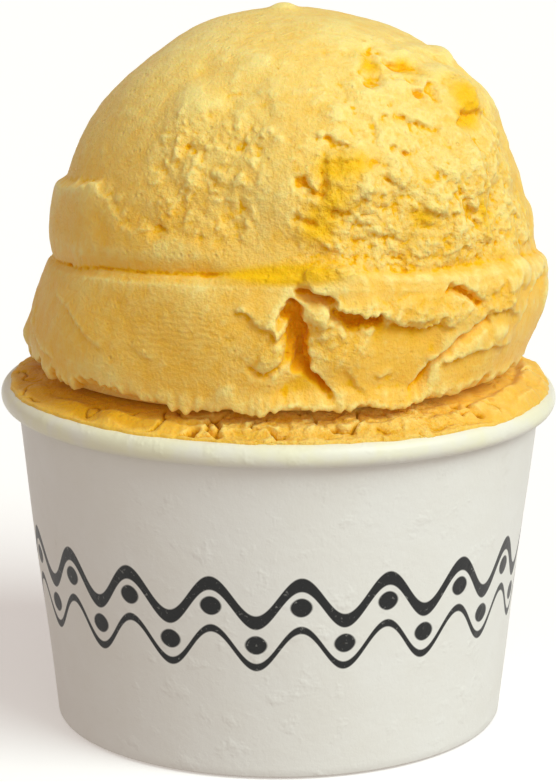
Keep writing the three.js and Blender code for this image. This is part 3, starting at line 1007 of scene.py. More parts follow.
@dataclass
class Scoop:
    """The big scoop of gelato, cut round by the scoop's blade and squeezed out below it."""

    form: ScoopForm = field(default_factory=ScoopForm)
    segments: int = 768
    rings: int = 272
    voxel: float = 0.27
    droop: float = 0.55  # how far torn edges hang, as a share of their height
    noise: GradientNoise = field(default_factory=lambda: GradientNoise(3))

    def crumbly(self, bearing: np.ndarray, z: np.ndarray) -> np.ndarray:
        """Returns 1 where the surface is all crumbs and flakes, easing to 0 where it is smooth."""
        above = smoothstep(z, 66.2, 68) * (1 - smoothstep(z, 88.5, 93.5))
        right = sector(bearing, 38, 27, 26) * lerp(1.0, 0.5, smoothstep(z, 77, 85))
        behind = sector(bearing, 172, 42, 20)
        collar = 0.6 * sector(bearing, 6, 9, 8) * (1 - smoothstep(z, 62, 65))
        collar = collar * smoothstep(z, 53, 57)
        lip = 0.6 * sector(bearing, 36, 16, 10) * (1 - smoothstep(z, 63, 65))
        lip = lip * smoothstep(z, 59, 61)
        return np.clip(above * np.maximum(right, behind) + collar + lip, 0, 1)

    def scarred(self, bearing: np.ndarray, z: np.ndarray) -> np.ndarray:
        """Returns 1 in the middle of the crumb-strewn scar in the front of the dome."""
        above = sector(bearing, -24, 10, 10) * smoothstep(z, 69.5, 72)
        return above * (1 - smoothstep(z, 84, 88.5))

    def torn_texture(self, skin: Skin) -> np.ndarray:
        """The flakes, crevices and crumbs of the torn gelato.

        Args:
            skin: The points to move.

        Returns:
            Heights where the gelato is fully torn.
        """
        p = skin.points
        rounded = 0.4 * self.noise.fractal(p, 6.0, 2, 0.5)
        coarse = self.shingles(p, 4.4, 4.2, 6.5)
        coarse = coarse * smoothstep(self.noise.at(p + 50, 6.0), -0.1, 0.45)
        small = self.shingles(p + 33, 2.0, 1.9, 3.0)
        small = small * smoothstep(self.noise.at(p + 80, 3.4), -0.1, 0.4)
        jagged = self.noise.fractal(p * (1, 1, 1.3), 2.4, 4, 0.75)
        creased = self.noise.creased(p * (1, 1, 1.35), 2.6, 3)
        grainy = 0.3 + 0.7 * sector(skin.bearing, 34, 22, 14) * (1 - smoothstep(skin.level, 73, 78))
        tops = Crumbs(5).at(p * (1, 1, 1.1), 1.2)
        lumpy = rounded + 0.62 * coarse + 0.36 * small + 0.22 * jagged + 0.25 * (creased - 0.5)
        return lumpy * lerp(1.0, 0.75, grainy - 0.3) + 0.66 * grainy * (tops - 0.6)

    def strewn(self, skin: Skin) -> np.ndarray:
        """The pale crumbs stuck over the scar, and the fine frost of the smooth gelato.

        Args:
            skin: The points to move.

        Returns:
            How far each is raised.
        """
        p = skin.points
        scar = self.scarred(skin.bearing, skin.level)
        scar = smoothstep(scar + 0.5 * scar * self.noise.fractal(p + 9, 5.0, 2, 0.6), 0.1, 0.8)
        stuck = smoothstep(self.noise.fractal(p + 61, 1.9, 3, 0.8), 0.12, 0.5)
        uneven = self.noise.fractal(p * (1, 1, 0.6) + 31, 2.6, 3, 0.7)
        streaked = self.noise.fractal(p * (1, 1, 0.18) + 91, 1.6, 2, 0.7)
        streaked = streaked * sector(skin.bearing, 82, 14, 12)
        frost = 0.05 * self.noise.fractal(p, 3.0, 3, 0.6)
        frost = frost + 0.06 * self.noise.fractal(p + 71, 1.2, 2, 0.8)
        crumbs = smoothstep(self.noise.fractal(p + 45, 1.1, 2, 0.9), 0.0, 0.35)
        fringe = 0.4 * crumbs * (1 - smoothstep(skin.level, 50.6, 52.2))
        return scar * (0.4 * stuck + 0.2 * uneven - 0.12) + frost + 0.07 * streaked + fringe

    def shingles(
        self, points: np.ndarray, spacing: float, warp: float, wander: float
    ) -> np.ndarray:
        """Torn layers that overlap from the top down, each proud along its ragged lower edge.

        Args:
            points: Where to read them.
            spacing: How far apart the edges are.
            warp: How far the edges stray up and down.
            wander: Over what length they stray.

        Returns:
            Values from 0, just below an edge, to 1, on it.
        """
        stray = warp * self.noise.fractal(points + 7, wander, 2, 0.5)
        stray = stray + 0.35 * self.noise.fractal(points, 1.7, 2, 0.7)
        phase = (points[:, 2] + stray) / spacing
        above = phase - np.floor(phase)
        risen = smoothstep(above, 0, 0.07)
        return (1 - above) ** 1.2 * risen + (1 - risen) * 0.5

    def build(self) -> bpy.types.Object:
        """Shapes the scoop.

        Returns:
            The finished piece.
        """
        form = self.form
        piece = Modeller.ball("gelato_scoop", self.segments, self.rings)
        profile, density = form.profile()
        skin = turned(profile, density, piece)
        free = smoothstep(skin.level, form.skirt_level + 0.1, form.skirt_level + 2)
        nearness = 1 - np.abs(skin.level - form.groove_level) / np.where(
            skin.level > form.groove_level, 26.0, 14.0
        )
        skin.points[:, 2] += free * form.groove_shift(skin.bearing) * np.clip(nearness, 0, 1)
        main = form.main_rise(skin)
        crumbly = self.crumbly(skin.bearing, skin.level)
        patchy = 0.35 * crumbly * self.noise.fractal(skin.points, 4.5, 3, 0.6)
        crumbly = smoothstep(crumbly + patchy, 0.05, 1.0)
        relief = crumbly * self.torn_texture(skin)
        relief += self.strewn(skin)
        for feature in (*SHELVES, *SPOTS, *SPLITS):
            feature.carve(form, skin, relief)
        points = skin.points + skin.normals * (free * (main + relief))[:, None]
        points -= skin.ups * (free * self.droop * relief)[:, None]
        points = self.hang_hem(skin, points)
        points[:, 0] += form.lean(points)
        Modeller.write(piece, points)
        Modeller.apply(piece, "REMESH", mode="VOXEL", voxel_size=self.voxel, use_smooth_shade=True)
        Modeller.drop_strays(piece)
        self.roughen(piece)
        Modeller.thin(piece, MOST_TRIANGLES)
        self.remember(piece)
        Modeller.write(piece, Modeller.read(piece) * MM)
        Modeller.settle(piece, Slot.SCOOP, "scoop")
        return piece

    def hang_hem(self, skin: Skin, points: np.ndarray) -> np.ndarray:
        """Moves the collar's lower edge up and down into ragged teeth.

        Args:
            skin: The points before any relief.
            points: The same points as shaped so far.

        Returns:
            The moved points.
        """
        form = self.form
        near = 1 - smoothstep(np.abs(skin.level - form.skirt_level), 0.8, 1.4)
        outer = smoothstep(radius_of(points), form.seat_radius, form.skirt_radius)
        edge = 1 - smoothstep(skin.level - form.skirt_level, 0.2, 2.6)
        around = form.on_surface(np.stack([skin.bearing, np.full(len(points), 51.0)], axis=1))
        ragged = sector(skin.bearing, -64, 18, 12)
        teeth = (0.5 + 0.8 * ragged) * self.noise.fractal(around, 1.5, 3, 1.1)
        chipped = smoothstep(self.noise.fractal(around + 90, 2.6, 3, 0.8), -0.06, 0.1)
        teeth += (0.4 + 0.8 * ragged) * (chipped - 0.6)
        moved = points.copy()
        moved[:, 2] += near * outer * form.hem_shift(skin.bearing) + outer * edge * teeth
        jut = 0.4 * outer * edge * self.noise.fractal(around + 33, 2.0, 3, 0.8)
        moved[:, :2] *= (1 + jut / form.skirt_radius)[:, None]
        return moved

    def roughen(self, piece: bpy.types.Object) -> None:
        """Adds the crumbs that sit on torn faces and the walls of cracks.

        Args:
            piece: The scoop, in millimetres.
        """
        lie = Lie(piece)
        points = self.form.upright(lie.points)
        bearing, z = bearing_of(points), points[:, 2]
        crumbly = self.crumbly(bearing, z)
        hollow = smoothstep(lie.depth(30), 0.05, 0.35)
        free = smoothstep(points[:, 2], 50.2, 51.2)
        tops = Crumbs(8).at(points, 0.95)
        fine = self.noise.creased(points + 5, 1.4, 2, 0.7) - 0.45
        grainy = crumbly * sector(bearing, 34, 22, 14) * (1 - smoothstep(z, 73, 78))
        rough = self.noise.fractal(points + 3, 1.3, 2, 0.9)
        amount = 0.85 * crumbly + 0.9 * hollow + 0.4 * self.scarred(bearing, z)
        crumbs = (0.14 + 0.14 * grainy) * (tops - 0.6) + 0.16 * fine + 0.12 * rough
        height = np.clip(amount, 0, 1) * free * crumbs + 0.035 * free * fine
        Modeller.write(piece, lie.points + lie.normals * height[:, None])

    def remember(self, piece: bpy.types.Object) -> None:
        """Marks hollows and cracks for painted shade, crests for a painted highlight, and torn,
        moist and wrinkled places for the finish.

        Args:
            piece: The scoop, in millimetres.
        """
        lie = Lie(piece)
        points = self.form.upright(lie.points)
        bearing, z = bearing_of(points), points[:, 2]
        close, near, wide = lie.depth(3), lie.depth(14), lie.depth(120)
        # painted shade: hollow darkens pits, hollows and cracks; painted highlight: crest makes
        # ridges and bulges paler
        hollow = smoothstep(close, 0.005, 0.06) * 0.2 + smoothstep(near, 0.02, 0.25) * 0.45
        hollow = hollow + smoothstep(wide, 0.15, 1.0)
        crest = smoothstep(-close, 0.008, 0.06) * 0.3 + smoothstep(-near, 0.03, 0.25) * 0.5
        crest = crest + 0.6 * smoothstep(-wide, 0.15, 0.7)
        # cracks sunk below the collar get the deepest painted shade
        sunk = self.form.collar_at(z) - radius_of(points)
        cracked = smoothstep(sunk, 0.9, 2.2) * smoothstep(z, 51, 52)
        cracked = cracked * (1 - smoothstep(z, 62.4, 63.6))
        hollow = np.maximum(hollow, 1.05 * cracked)
        moist = 0.0 * z
        for middle, level, width, height in MOIST_PLACES:
            east = (bearing - middle) * 0.55
            moist += np.exp(-((east / width) ** 2) - ((z - level) / height) ** 2)
        wrinkled = sector(bearing, -26, 7, 7) * smoothstep(z, 54.5, 57)
        wrinkled = wrinkled * (1 - smoothstep(z, 61.5, 64))
        Modeller.mark(piece, Mark.HOLLOW, hollow)
        Modeller.mark(piece, Mark.CREST, crest)
        fringe = 0.35 * (1 - smoothstep(z, 50.4, 52))
        torn = self.crumbly(bearing, z) + 0.5 * self.scarred(bearing, z) + fringe
        Modeller.mark(piece, Mark.TORN, torn)
        Modeller.mark(piece, Mark.MOIST, moist)
        Modeller.mark(piece, Mark.WRINKLED, wrinkled)

    def dress(self, piece: bpy.types.Object, finish: "GelatoFinish") -> None:
        """Puts the finish on the scoop."""
        piece.data.materials.append(finish.material())


# bearing, height, half width and half height of the wet, deep yellow places
MOIST_PLACES = (
    (9, 76.4, 3.0, 3.2), (12, 80.5, 5.0, 1.6), (4, 72.6, 2.6, 2.2), (2, 67.6, 6.0, 1.3),
    (47, 90.9, 3.4, 1.2), (31, 91.6, 2.6, 1.6), (60, 87, 4.2, 2.6), (56, 84.2, 3.6, 1.4),
    (50, 73.0, 1.4, 3.0), (-7, 66.8, 7.0, 1.0), (31, 73.4, 1.8, 1.6),
)


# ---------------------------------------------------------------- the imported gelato


@dataclass
class PackedGelato:
    """Gelato levelled into the cup and smeared over its rim."""

    cup: "PaperCup"
    level: float = 49.0
    edge_radius: float = 36.9
    shoulder_radius: float = 30.5
    seat_radius: float = 31.0
    skirt_radius: float = 33.4
    gap: float = 0.3
    segments: int = 896
    rings: int = 104
    noise: GradientNoise = field(default_factory=lambda: GradientNoise(21))

    def profile(self) -> tuple[np.ndarray, np.ndarray, float]:
        """The outline from the middle of the top to the middle of the floor.

        Returns:
            Radius and height pairs, how closely rings lie along each stretch, and the height of
            the crest.
        """
        cup = self.cup
        tucked = (cup.curl_width / 2 - 0.2, cup.curl_height / 2 - 0.2)
        crest = ellipse_arc(cup.curl_centre, tucked, 60, 180, 16)
        edge_top = crest[0][1] + 0.9
        t = np.linspace(0, 1, 40)
        radii = lerp(self.shoulder_radius, self.edge_radius - 0.45, t)
        slope = list(zip(radii, lerp(self.level, edge_top, t**1.35)))
        edge = ellipse_arc((radii[-1], edge_top - 0.6), (0.5, 0.6), 75, 0, 6)
        top = [(r, self.level) for r in (0, self.seat_radius / 2, self.seat_radius - 3)]
        neck, floor = cup.curl_centre[1] - 0.6, cup.foot_recess + cup.paper + self.gap
        under = [(cup.wall_radius(h) - cup.paper - self.gap, h) for h in (neck, floor)]
        under.append((0, floor))
        profile = np.array([*top, *slope, *edge, *crest, *under])
        shown = [1.0] * (len(slope) + len(edge) + len(crest) - 1)
        density = [0.06, 0.1, 0.5, *shown, 0.4, 0.04, 0.03]
        return profile, np.array(density), edge_top - 0.6

    def build(self) -> bpy.types.Object:
        """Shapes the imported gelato.

        Returns:
            The finished piece.
        """
        piece = Modeller.ball("gelato_packed", self.segments, self.rings)
        profile, density, edge_top = self.profile()
        skin = turned(profile, density, piece)
        points, bearing = skin.points.copy(), skin.bearing
        r = radius_of(points)
        top = points[:, 2] > edge_top - 0.05
        opened = smoothstep(r, self.skirt_radius - 1, self.skirt_radius + 0.5)
        free = opened * (1 - smoothstep(r, self.edge_radius - 1, self.edge_radius)) * top
        heap = 0.8 * sector(bearing, 82, 12, 30) + 0.4 * sector(bearing, 170, 20, 30)
        points[:, 2] += free * (heap + 0.3 * lumps(points, 9))
        around = skin.points * (1, 1, 0)
        spread = 0.35 * sector(bearing, 62, 30, 22) - 0.1
        spread = spread + 0.4 * self.noise.fractal(around, 7.0, 3, 0.6)
        over_rim = points[:, 2] > self.cup.curl_centre[1] + 0.3
        outer = smoothstep(r, self.edge_radius - 3, self.edge_radius) * over_rim
        points[:, :2] *= (1 + outer * spread / np.maximum(r, 1))[:, None]
        points[:, 2] -= outer * 0.75 * np.maximum(spread, 0) ** 1.5
        points += self.broken(skin, r, top) * skin.normals
        sag = np.where(
            top, smoothstep(r, self.edge_radius - 3, self.edge_radius - 1.5), 1.0
        ) * smoothstep(points[:, 2], self.cup.height / 2, self.cup.curl_centre[1] - 0.6)
        points[:, 2] -= sag * self.cup.sag(points)
        Modeller.write(piece, points)
        self.remember(piece)
        Modeller.write(piece, points * MM)
        Modeller.settle(piece, Slot.PACKED, "packed_gelato")
        return piece

    def broken(self, skin: Skin, r: np.ndarray, top: np.ndarray) -> np.ndarray:
        """The flakes and cracks of the ring that shows.

        Args:
            skin: The points to move.
            r: Their distances from the axis.
            top: Which of them are on the top.

        Returns:
            A column of heights.
        """
        bearing = skin.bearing
        front, behind = sector(bearing, 12, 24, 16), 0.6 * sector(bearing, 150, 60, 20)
        rough = 0.3 + 0.7 * np.maximum(front, behind)
        rough = np.maximum(rough, 0.7 * sector(bearing, 72, 5, 5))
        shown = smoothstep(r, self.seat_radius - 2, self.seat_radius) * top
        shown = shown * (1 - 0.75 * smoothstep(r, self.edge_radius - 1.2, self.edge_radius))
        broad = self.noise.fractal(skin.points, 7.0, 3, 0.55)
        steps = broad / 0.4 + 0.3 * skin.rag
        step = np.floor(steps)
        flakes = 0.38 * (step + smoothstep(steps - step, 0.6, 0.95) - 0.4 * steps)
        valley = np.abs(self.noise.fractal(skin.points + 40, 7, 3, 0.5))
        cracks = -1.1 * (1 - smoothstep(valley, 0.01, 0.11))
        cracks = cracks * smoothstep(self.noise.at(skin.points + 15, 6.0), -0.2, 0.1)
        uneven = self.noise.fractal(skin.points + 25, 1.8, 3, 0.75)
        under_scoop = 1 - smoothstep(r, self.skirt_radius - 0.5, self.skirt_radius + 1)
        height = flakes + cracks + 0.16 * uneven - 0.2
        return (shown * rough * height - shown * 0.35 * under_scoop)[:, None]

    def remember(self, piece: bpy.types.Object) -> None:
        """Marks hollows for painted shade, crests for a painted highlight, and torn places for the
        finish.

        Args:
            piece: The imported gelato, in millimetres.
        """
        lie = Lie(piece)
        near, wide = lie.depth(10), lie.depth(60)
        bearing = bearing_of(lie.points)
        # painted shadow: the left of the ring that shows is darkened as if the scoop shaded it; its
        # hollows also get painted shade
        inner = 1 - smoothstep(radius_of(lie.points), 35.0, 36.8)
        shaded = 0.55 * sector(bearing, -75, 30, 40) * inner
        hollow = shaded + smoothstep(near, 0.01, 0.2) * 0.5 + smoothstep(wide, 0.02, 0.5)
        Modeller.mark(piece, Mark.HOLLOW, hollow)
        crest = smoothstep(-near, 0.02, 0.2) * 0.6 + smoothstep(-wide, 0.1, 0.5)
        Modeller.mark(piece, Mark.CREST, crest)
        Modeller.mark(piece, Mark.TORN, sector(bearing, 14, 22, 14))
        Modeller.mark(piece, Mark.MOIST, 0.35 * sector(bearing, -50, 40, 30))
        Modeller.mark(piece, Mark.WRINKLED, np.zeros(len(bearing)))

    def dress(self, piece: bpy.types.Object, finish: "GelatoFinish") -> None:
        """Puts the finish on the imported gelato."""
        piece.data.materials.append(finish.material())


# ---------------------------------------------------------------- the paper cup


@dataclass
class PaperCup:
    """The paper cup: a tapered wall with a rolled rim, a hemmed foot and a recessed bottom disc."""

    rim_radius: float = 38.0
    height: float = 46.7
    foot_radius: float = 30.9
    shoulder_radius: float = 35.7
    paper: float = 0.45
    curl_width: float = 2.8
    curl_height: float = 3.1
    curl_turn: float = 310.0
    foot_recess: float = 5.6
    hem_thickness: float = 1.1
    rim_dip: float = 0.35
    gap: float = 0.3
    seam_bearing: float = 158.0  # where the wall's two edges overlap
    seam_half: float = 5.5
    segments: int = 288

    @property
    def curl_centre(self) -> tuple[float, float]:
        """Radius and height of the middle of the rolled rim's section."""
        return self.rim_radius - self.curl_width / 2, self.height - self.curl_height / 2

    def wall_radius(self, z: float) -> float:
        """Returns the outside radius of the wall at a height."""
        t = z / (self.height - self.curl_height)
        return self.foot_radius + (self.shoulder_radius - self.foot_radius) * t

    def sag(self, points: np.ndarray) -> np.ndarray:
        """Returns how far the rim has sagged at each point."""
        return self.rim_dip * (points[:, 0] - points[:, 1]) / self.rim_radius

    def wall_profile(self) -> list[tuple[float, float]]:
        """The wall's closed section.

        Returns:
            Radius and height pairs, from inside the rim over the roll, down the outside and up.
        """
        bead = (self.curl_width / 2, self.curl_height / 2)
        inside = (bead[0] - self.paper, bead[1] - self.paper)
        joint = self.curl_centre[1] - 0.4
        lip = 180 - self.curl_turn
        within = np.linspace(self.foot_recess, joint - 0.5, 12)
        return [
            *ellipse_arc(self.curl_centre, bead, 180, lip, 40),
            *ellipse_arc(self.curl_centre, inside, lip, 180, 20),
            (self.wall_radius(joint), joint),
            *[(self.wall_radius(h), h) for h in np.linspace(joint - 0.4, 0.35, 44)],
            (self.foot_radius - 0.12, 0.08), (self.foot_radius - 0.4, 0.0),
            (self.foot_radius - self.hem_thickness + 0.25, 0.0),
            (self.foot_radius - self.hem_thickness, 0.15),
            (self.wall_radius(self.foot_recess) - self.hem_thickness, self.foot_recess - self.gap),
            (self.wall_radius(self.foot_recess) - self.paper, self.foot_recess - self.gap),
            *[(self.wall_radius(h) - self.paper, h) for h in within],
        ]

    def ring(self, name: str, profile: list[tuple[float, float]], closed: bool) -> bpy.types.Object:
        """Builds a turned shell by extruding one circle along a section.

        Args:
            name: The new object's name.
            profile: Radius and height pairs.
            closed: Whether the last ring is bridged to the first.

        Returns:
            The new object, in millimetres.
        """
        bpy.ops.object.select_all(action="DESELECT")
        first, *rest = profile
        bpy.ops.mesh.primitive_circle_add(
            vertices=self.segments, radius=first[0], fill_type="NOTHING", location=(0, 0, 0)
        )
        piece = bpy.context.object
        piece.name = piece.data.name = name
        bpy.ops.object.mode_set(mode="EDIT")
        bpy.ops.mesh.select_all(action="SELECT")
        bpy.ops.transform.translate(value=(0, 0, first[1]))
        here = first
        for r, z in rest:
            bpy.ops.mesh.extrude_region_move(TRANSFORM_OT_translate={"value": (0, 0, z - here[1])})
            share = r / here[0]
            bpy.ops.transform.resize(value=(share, share, 1), center_override=(0, 0, z))
            here = (r, z)
        if closed:
            bpy.ops.mesh.select_all(action="DESELECT")
            bpy.ops.mesh.select_non_manifold()
            bpy.ops.mesh.bridge_edge_loops()
        bpy.ops.object.mode_set(mode="OBJECT")
        return piece

    def build_wall(self) -> bpy.types.Object:
        """Builds the wall with its rolled rim, hem and overlapped seam.

        Returns:
            The finished piece.
        """
        wall = self.ring("cup_paper_wall", self.wall_profile(), closed=True)
        points = Modeller.read(wall)
        bearing, z = bearing_of(points), points[:, 2].copy()
        joint = self.curl_centre[1] - 0.4
        r = radius_of(points)
        outside = r > np.array([self.wall_radius(h) for h in z]) - 0.15
        lapped = sector(bearing, self.seam_bearing, self.seam_half, 0.6)
        eased = 1 - smoothstep(bearing, self.seam_bearing - 4, self.seam_bearing + self.seam_half)
        slack = 0.12 * lumps(points * (1, 1, 0.6), 34) * np.sin(np.pi * np.clip(z / joint, 0, 1))
        push = np.where(outside, 0.3 * lapped * (0.25 + 0.75 * eased), 0) + slack
        points[:, :2] *= (1 + push / r)[:, None]
        points[:, 2] -= smoothstep(z, self.height / 2, joint) * self.sag(points)
        Modeller.write(wall, points * MM)
        Modeller.settle(wall, Slot.PAPER, "cup_wall")
        return wall

    def build_bottom(self) -> bpy.types.Object:
        """Builds the bottom disc, pressed slightly upwards in its middle.

        Returns:
            The finished piece.
        """
        radius = self.wall_radius(self.foot_recess) - self.paper - self.gap
        radii = np.linspace(0.6, radius, 24)
        top = [(r, self.foot_recess + self.paper) for r in radii]
        under = [(r, self.foot_recess) for r in radii[::-1]]
        disc = self.ring("cup_paper_bottom", [*top, *under], closed=False)
        bpy.ops.object.mode_set(mode="EDIT")
        bpy.ops.mesh.select_all(action="DESELECT")
        bpy.ops.mesh.select_non_manifold()
        bpy.ops.mesh.merge(type="COLLAPSE")
        bpy.ops.object.mode_set(mode="OBJECT")
        points = Modeller.read(disc)
        r = radius_of(points)
        pressed = 0.12 * (1 - smoothstep(r, radius - 6, radius - 2))
        points[:, 2] += pressed + 0.03 * lumps(points, 16)
        Modeller.write(disc, points * MM)
        Modeller.settle(disc, Slot.PAPER, "cup_bottom")
        return disc

    def dress(self, piece: bpy.types.Object, finish: "PaperFinish") -> None:
        """Puts the paper on a piece of the cup."""
        piece.data.materials.append(finish.material())


# ---------------------------------------------------------------- shader writing


Socket = bpy.types.NodeSocket


class Graph:
    """A material's nodes."""

    def __init__(self, name: str) -> None:
        """Starts an empty material.

        Args:
            name: The material's name.
        """
        self.material = bpy.data.materials.new(name)
        self.material.use_nodes = True
        self.tree = self.material.node_tree
        self.tree.nodes.clear()

    def node(
        self, kind: str, settings: dict[str, object] | None = None, **inputs: object
    ) -> bpy.types.Node:
        """Adds a node.

        Args:
            kind: Its type.
            settings: Its properties, set first.
            **inputs: Values or links for its sockets, by name with _ for a space, or as in0, in1.

        Returns:
            The new node.
        """
        made = self.tree.nodes.new(kind)
        for key, value in (settings or {}).items():
            setattr(made, key, value)
        for key, value in inputs.items():
            numbered = key.startswith("in") and key[2:].isdigit()
            socket = made.inputs[int(key[2:])] if numbered else made.inputs[key.replace("_", " ")]
            value = value.socket if isinstance(value, Value) else value
            if isinstance(value, bpy.types.NodeSocket):
                self.tree.links.new(value, socket)
            else:
                socket.default_value = value
        return made

    def place(self) -> Socket:
        """Returns the object's own coordinates."""
        return self.node("ShaderNodeTexCoord").outputs["Object"]

    def mark(self, mark: Mark) -> "Value":
        """Returns what the mesh remembers."""
        made = self.node("ShaderNodeAttribute", {"attribute_name": mark.value})
        return Value(self, made.outputs["Fac"])

    def axes(self, place: Socket) -> "tuple[Value, Value, Value]":
        """Returns the three coordinates of a place."""
        made = self.node("ShaderNodeSeparateXYZ", None, Vector=place)
        return tuple(Value(self, made.outputs[i]) for i in range(3))

    def noise(
        self, where: Socket, size: float, detail: float = 2.0, roughness: float = 0.5
    ) -> "Value":
        """Adds soft noise.

        Args:
            where: The coordinates that it is read at.
            size: Its spacing, in metres.
            detail: How many finer octaves it has.
            roughness: How strong they are.

        Returns:
            Values from 0 to 1.
        """
        made = self.node(
            "ShaderNodeTexNoise", None,
            Vector=where, Scale=1 / size, Detail=detail, Roughness=roughness,
        )
        return Value(self, made.outputs["Fac"])

    def cells(self, where: Socket, size: float) -> "Value":
        """Adds packed cells.

        Args:
            where: The coordinates that they are read at.
            size: Their spacing, in metres.

        Returns:
            The distance to the nearest cell's middle, as a share of the spacing.
        """
        made = self.node("ShaderNodeTexVoronoi", None, Vector=where, Scale=1 / size)
        return Value(self, made.outputs["Distance"])

    def mix(self, share: "Value | float", a: object, b: object) -> Socket:
        """Mixes two colours.

        Args:
            share: How much of the second one there is.
            a: The first colour.
            b: The second colour.

        Returns:
            The mixed colour.
        """
        made = self.node("ShaderNodeMix", {"data_type": "RGBA"}, in0=share, in6=a, in7=b)
        return made.outputs[2]

    def bump(
        self, height: "Value", distance: float, strength: float, base: Socket | None = None
    ) -> Socket:
        """Turns a height into a normal.

        Args:
            height: The height, from 0 to 1.
            distance: What a height of 1 is, in metres.
            strength: How much of it shows.
            base: A normal that it adds to.

        Returns:
            The normal.
        """
        extra = {"Normal": base} if base else {}
        made = self.node(
            "ShaderNodeBump", None, Strength=strength, Distance=distance, Height=height, **extra
        )
        return made.outputs["Normal"]

    def finish(self, **inputs: object) -> bpy.types.Material:
        """Ends the graph in a Principled shader.

        Args:
            **inputs: Values or links for its sockets.

        Returns:
            The material.
        """
        shader = self.node("ShaderNodeBsdfPrincipled", None, **inputs)
        self.node("ShaderNodeOutputMaterial", None, Surface=shader.outputs["BSDF"])
        return self.material


class Value:
    """A number that varies over the surface, with arithmetic."""

    def __init__(self, graph: Graph, socket: Socket) -> None:
        """Wraps a socket.

        Args:
            graph: The graph that it is in.
            socket: The socket.
        """
        self.graph = graph
        self.socket = socket

    def _maths(self, operation: str, *others: object, swap: bool = False) -> "Value":
        """Adds a Math node.

        Args:
            operation: What it does.
            *others: Its other inputs.
            swap: Whether this value is its second input.

        Returns:
            Its result.
        """
        values = [self, *others]
        if swap:
            values.reverse()
        named = {f"in{i}": value for i, value in enumerate(values)}
        made = self.graph.node("ShaderNodeMath", {"operation": operation}, **named)
        return Value(self.graph, made.outputs[0])

    def __add__(self, other: "Value | float") -> "Value":
        """Returns the sum."""
        return self._maths("ADD", other)

    __radd__ = __add__

    def __sub__(self, other: "Value | float") -> "Value":
        """Returns this less the other."""
        return self._maths("SUBTRACT", other)

    def __rsub__(self, other: float) -> "Value":
        """Returns the other less this."""
        return self._maths("SUBTRACT", other, swap=True)

    def __mul__(self, other: "Value | float") -> "Value":
        """Returns the product."""
        return self._maths("MULTIPLY", other)

    __rmul__ = __mul__

    def __truediv__(self, other: "Value | float") -> "Value":
        """Returns this over the other."""
        return self._maths("DIVIDE", other)

    def __rtruediv__(self, other: float) -> "Value":
        """Returns the other over this."""
        return self._maths("DIVIDE", other, swap=True)

    def power(self, other: float) -> "Value":
        """Returns this to a power."""
        return self._maths("POWER", other)

    def sine(self) -> "Value":
        """Returns the sine."""
        return self._maths("SINE")

    def cosine(self) -> "Value":
        """Returns the cosine."""
        return self._maths("COSINE")

    def absolute(self) -> "Value":
        """Returns the value without its sign."""
        return self._maths("ABSOLUTE")

    def most(self, other: "Value | float") -> "Value":
        """Returns the larger of the two."""
        return self._maths("MAXIMUM", other)

    def least(self, other: "Value | float") -> "Value":
        """Returns the smaller of the two."""
        return self._maths("MINIMUM", other)

    def around(self, other: "Value") -> "Value":
        """Returns the angle whose tangent is this over the other."""
        return self._maths("ARCTAN2", other)

    def eased(self, low: float, high: float) -> "Value":
        """Eases from 0 at `low` to 1 at `high`.

        Args:
            low: Where it starts to rise.
            high: Where it has risen.

        Returns:
            Values from 0 to 1.
        """
        made = self.graph.node(
            "ShaderNodeMapRange", {"interpolation_type": "SMOOTHSTEP"},
            Value=self, From_Min=low, From_Max=high,
        )
        return Value(self.graph, made.outputs["Result"])


def tone(code: str) -> tuple[float, float, float, float]:
    """Turns a screen colour into a scene colour.

    Args:
        code: Six hexadecimal digits.

    Returns:
        Linear red, green, blue and an alpha of 1.
    """
    parts = [int(code[i : i + 2], 16) / 255 for i in (0, 2, 4)]
    linear = [c / 12.92 if c <= 0.04045 else ((c + 0.055) / 1.055) ** 2.4 for c in parts]
    return linear[0], linear[1], linear[2], 1.0


# ---------------------------------------------------------------- finishes


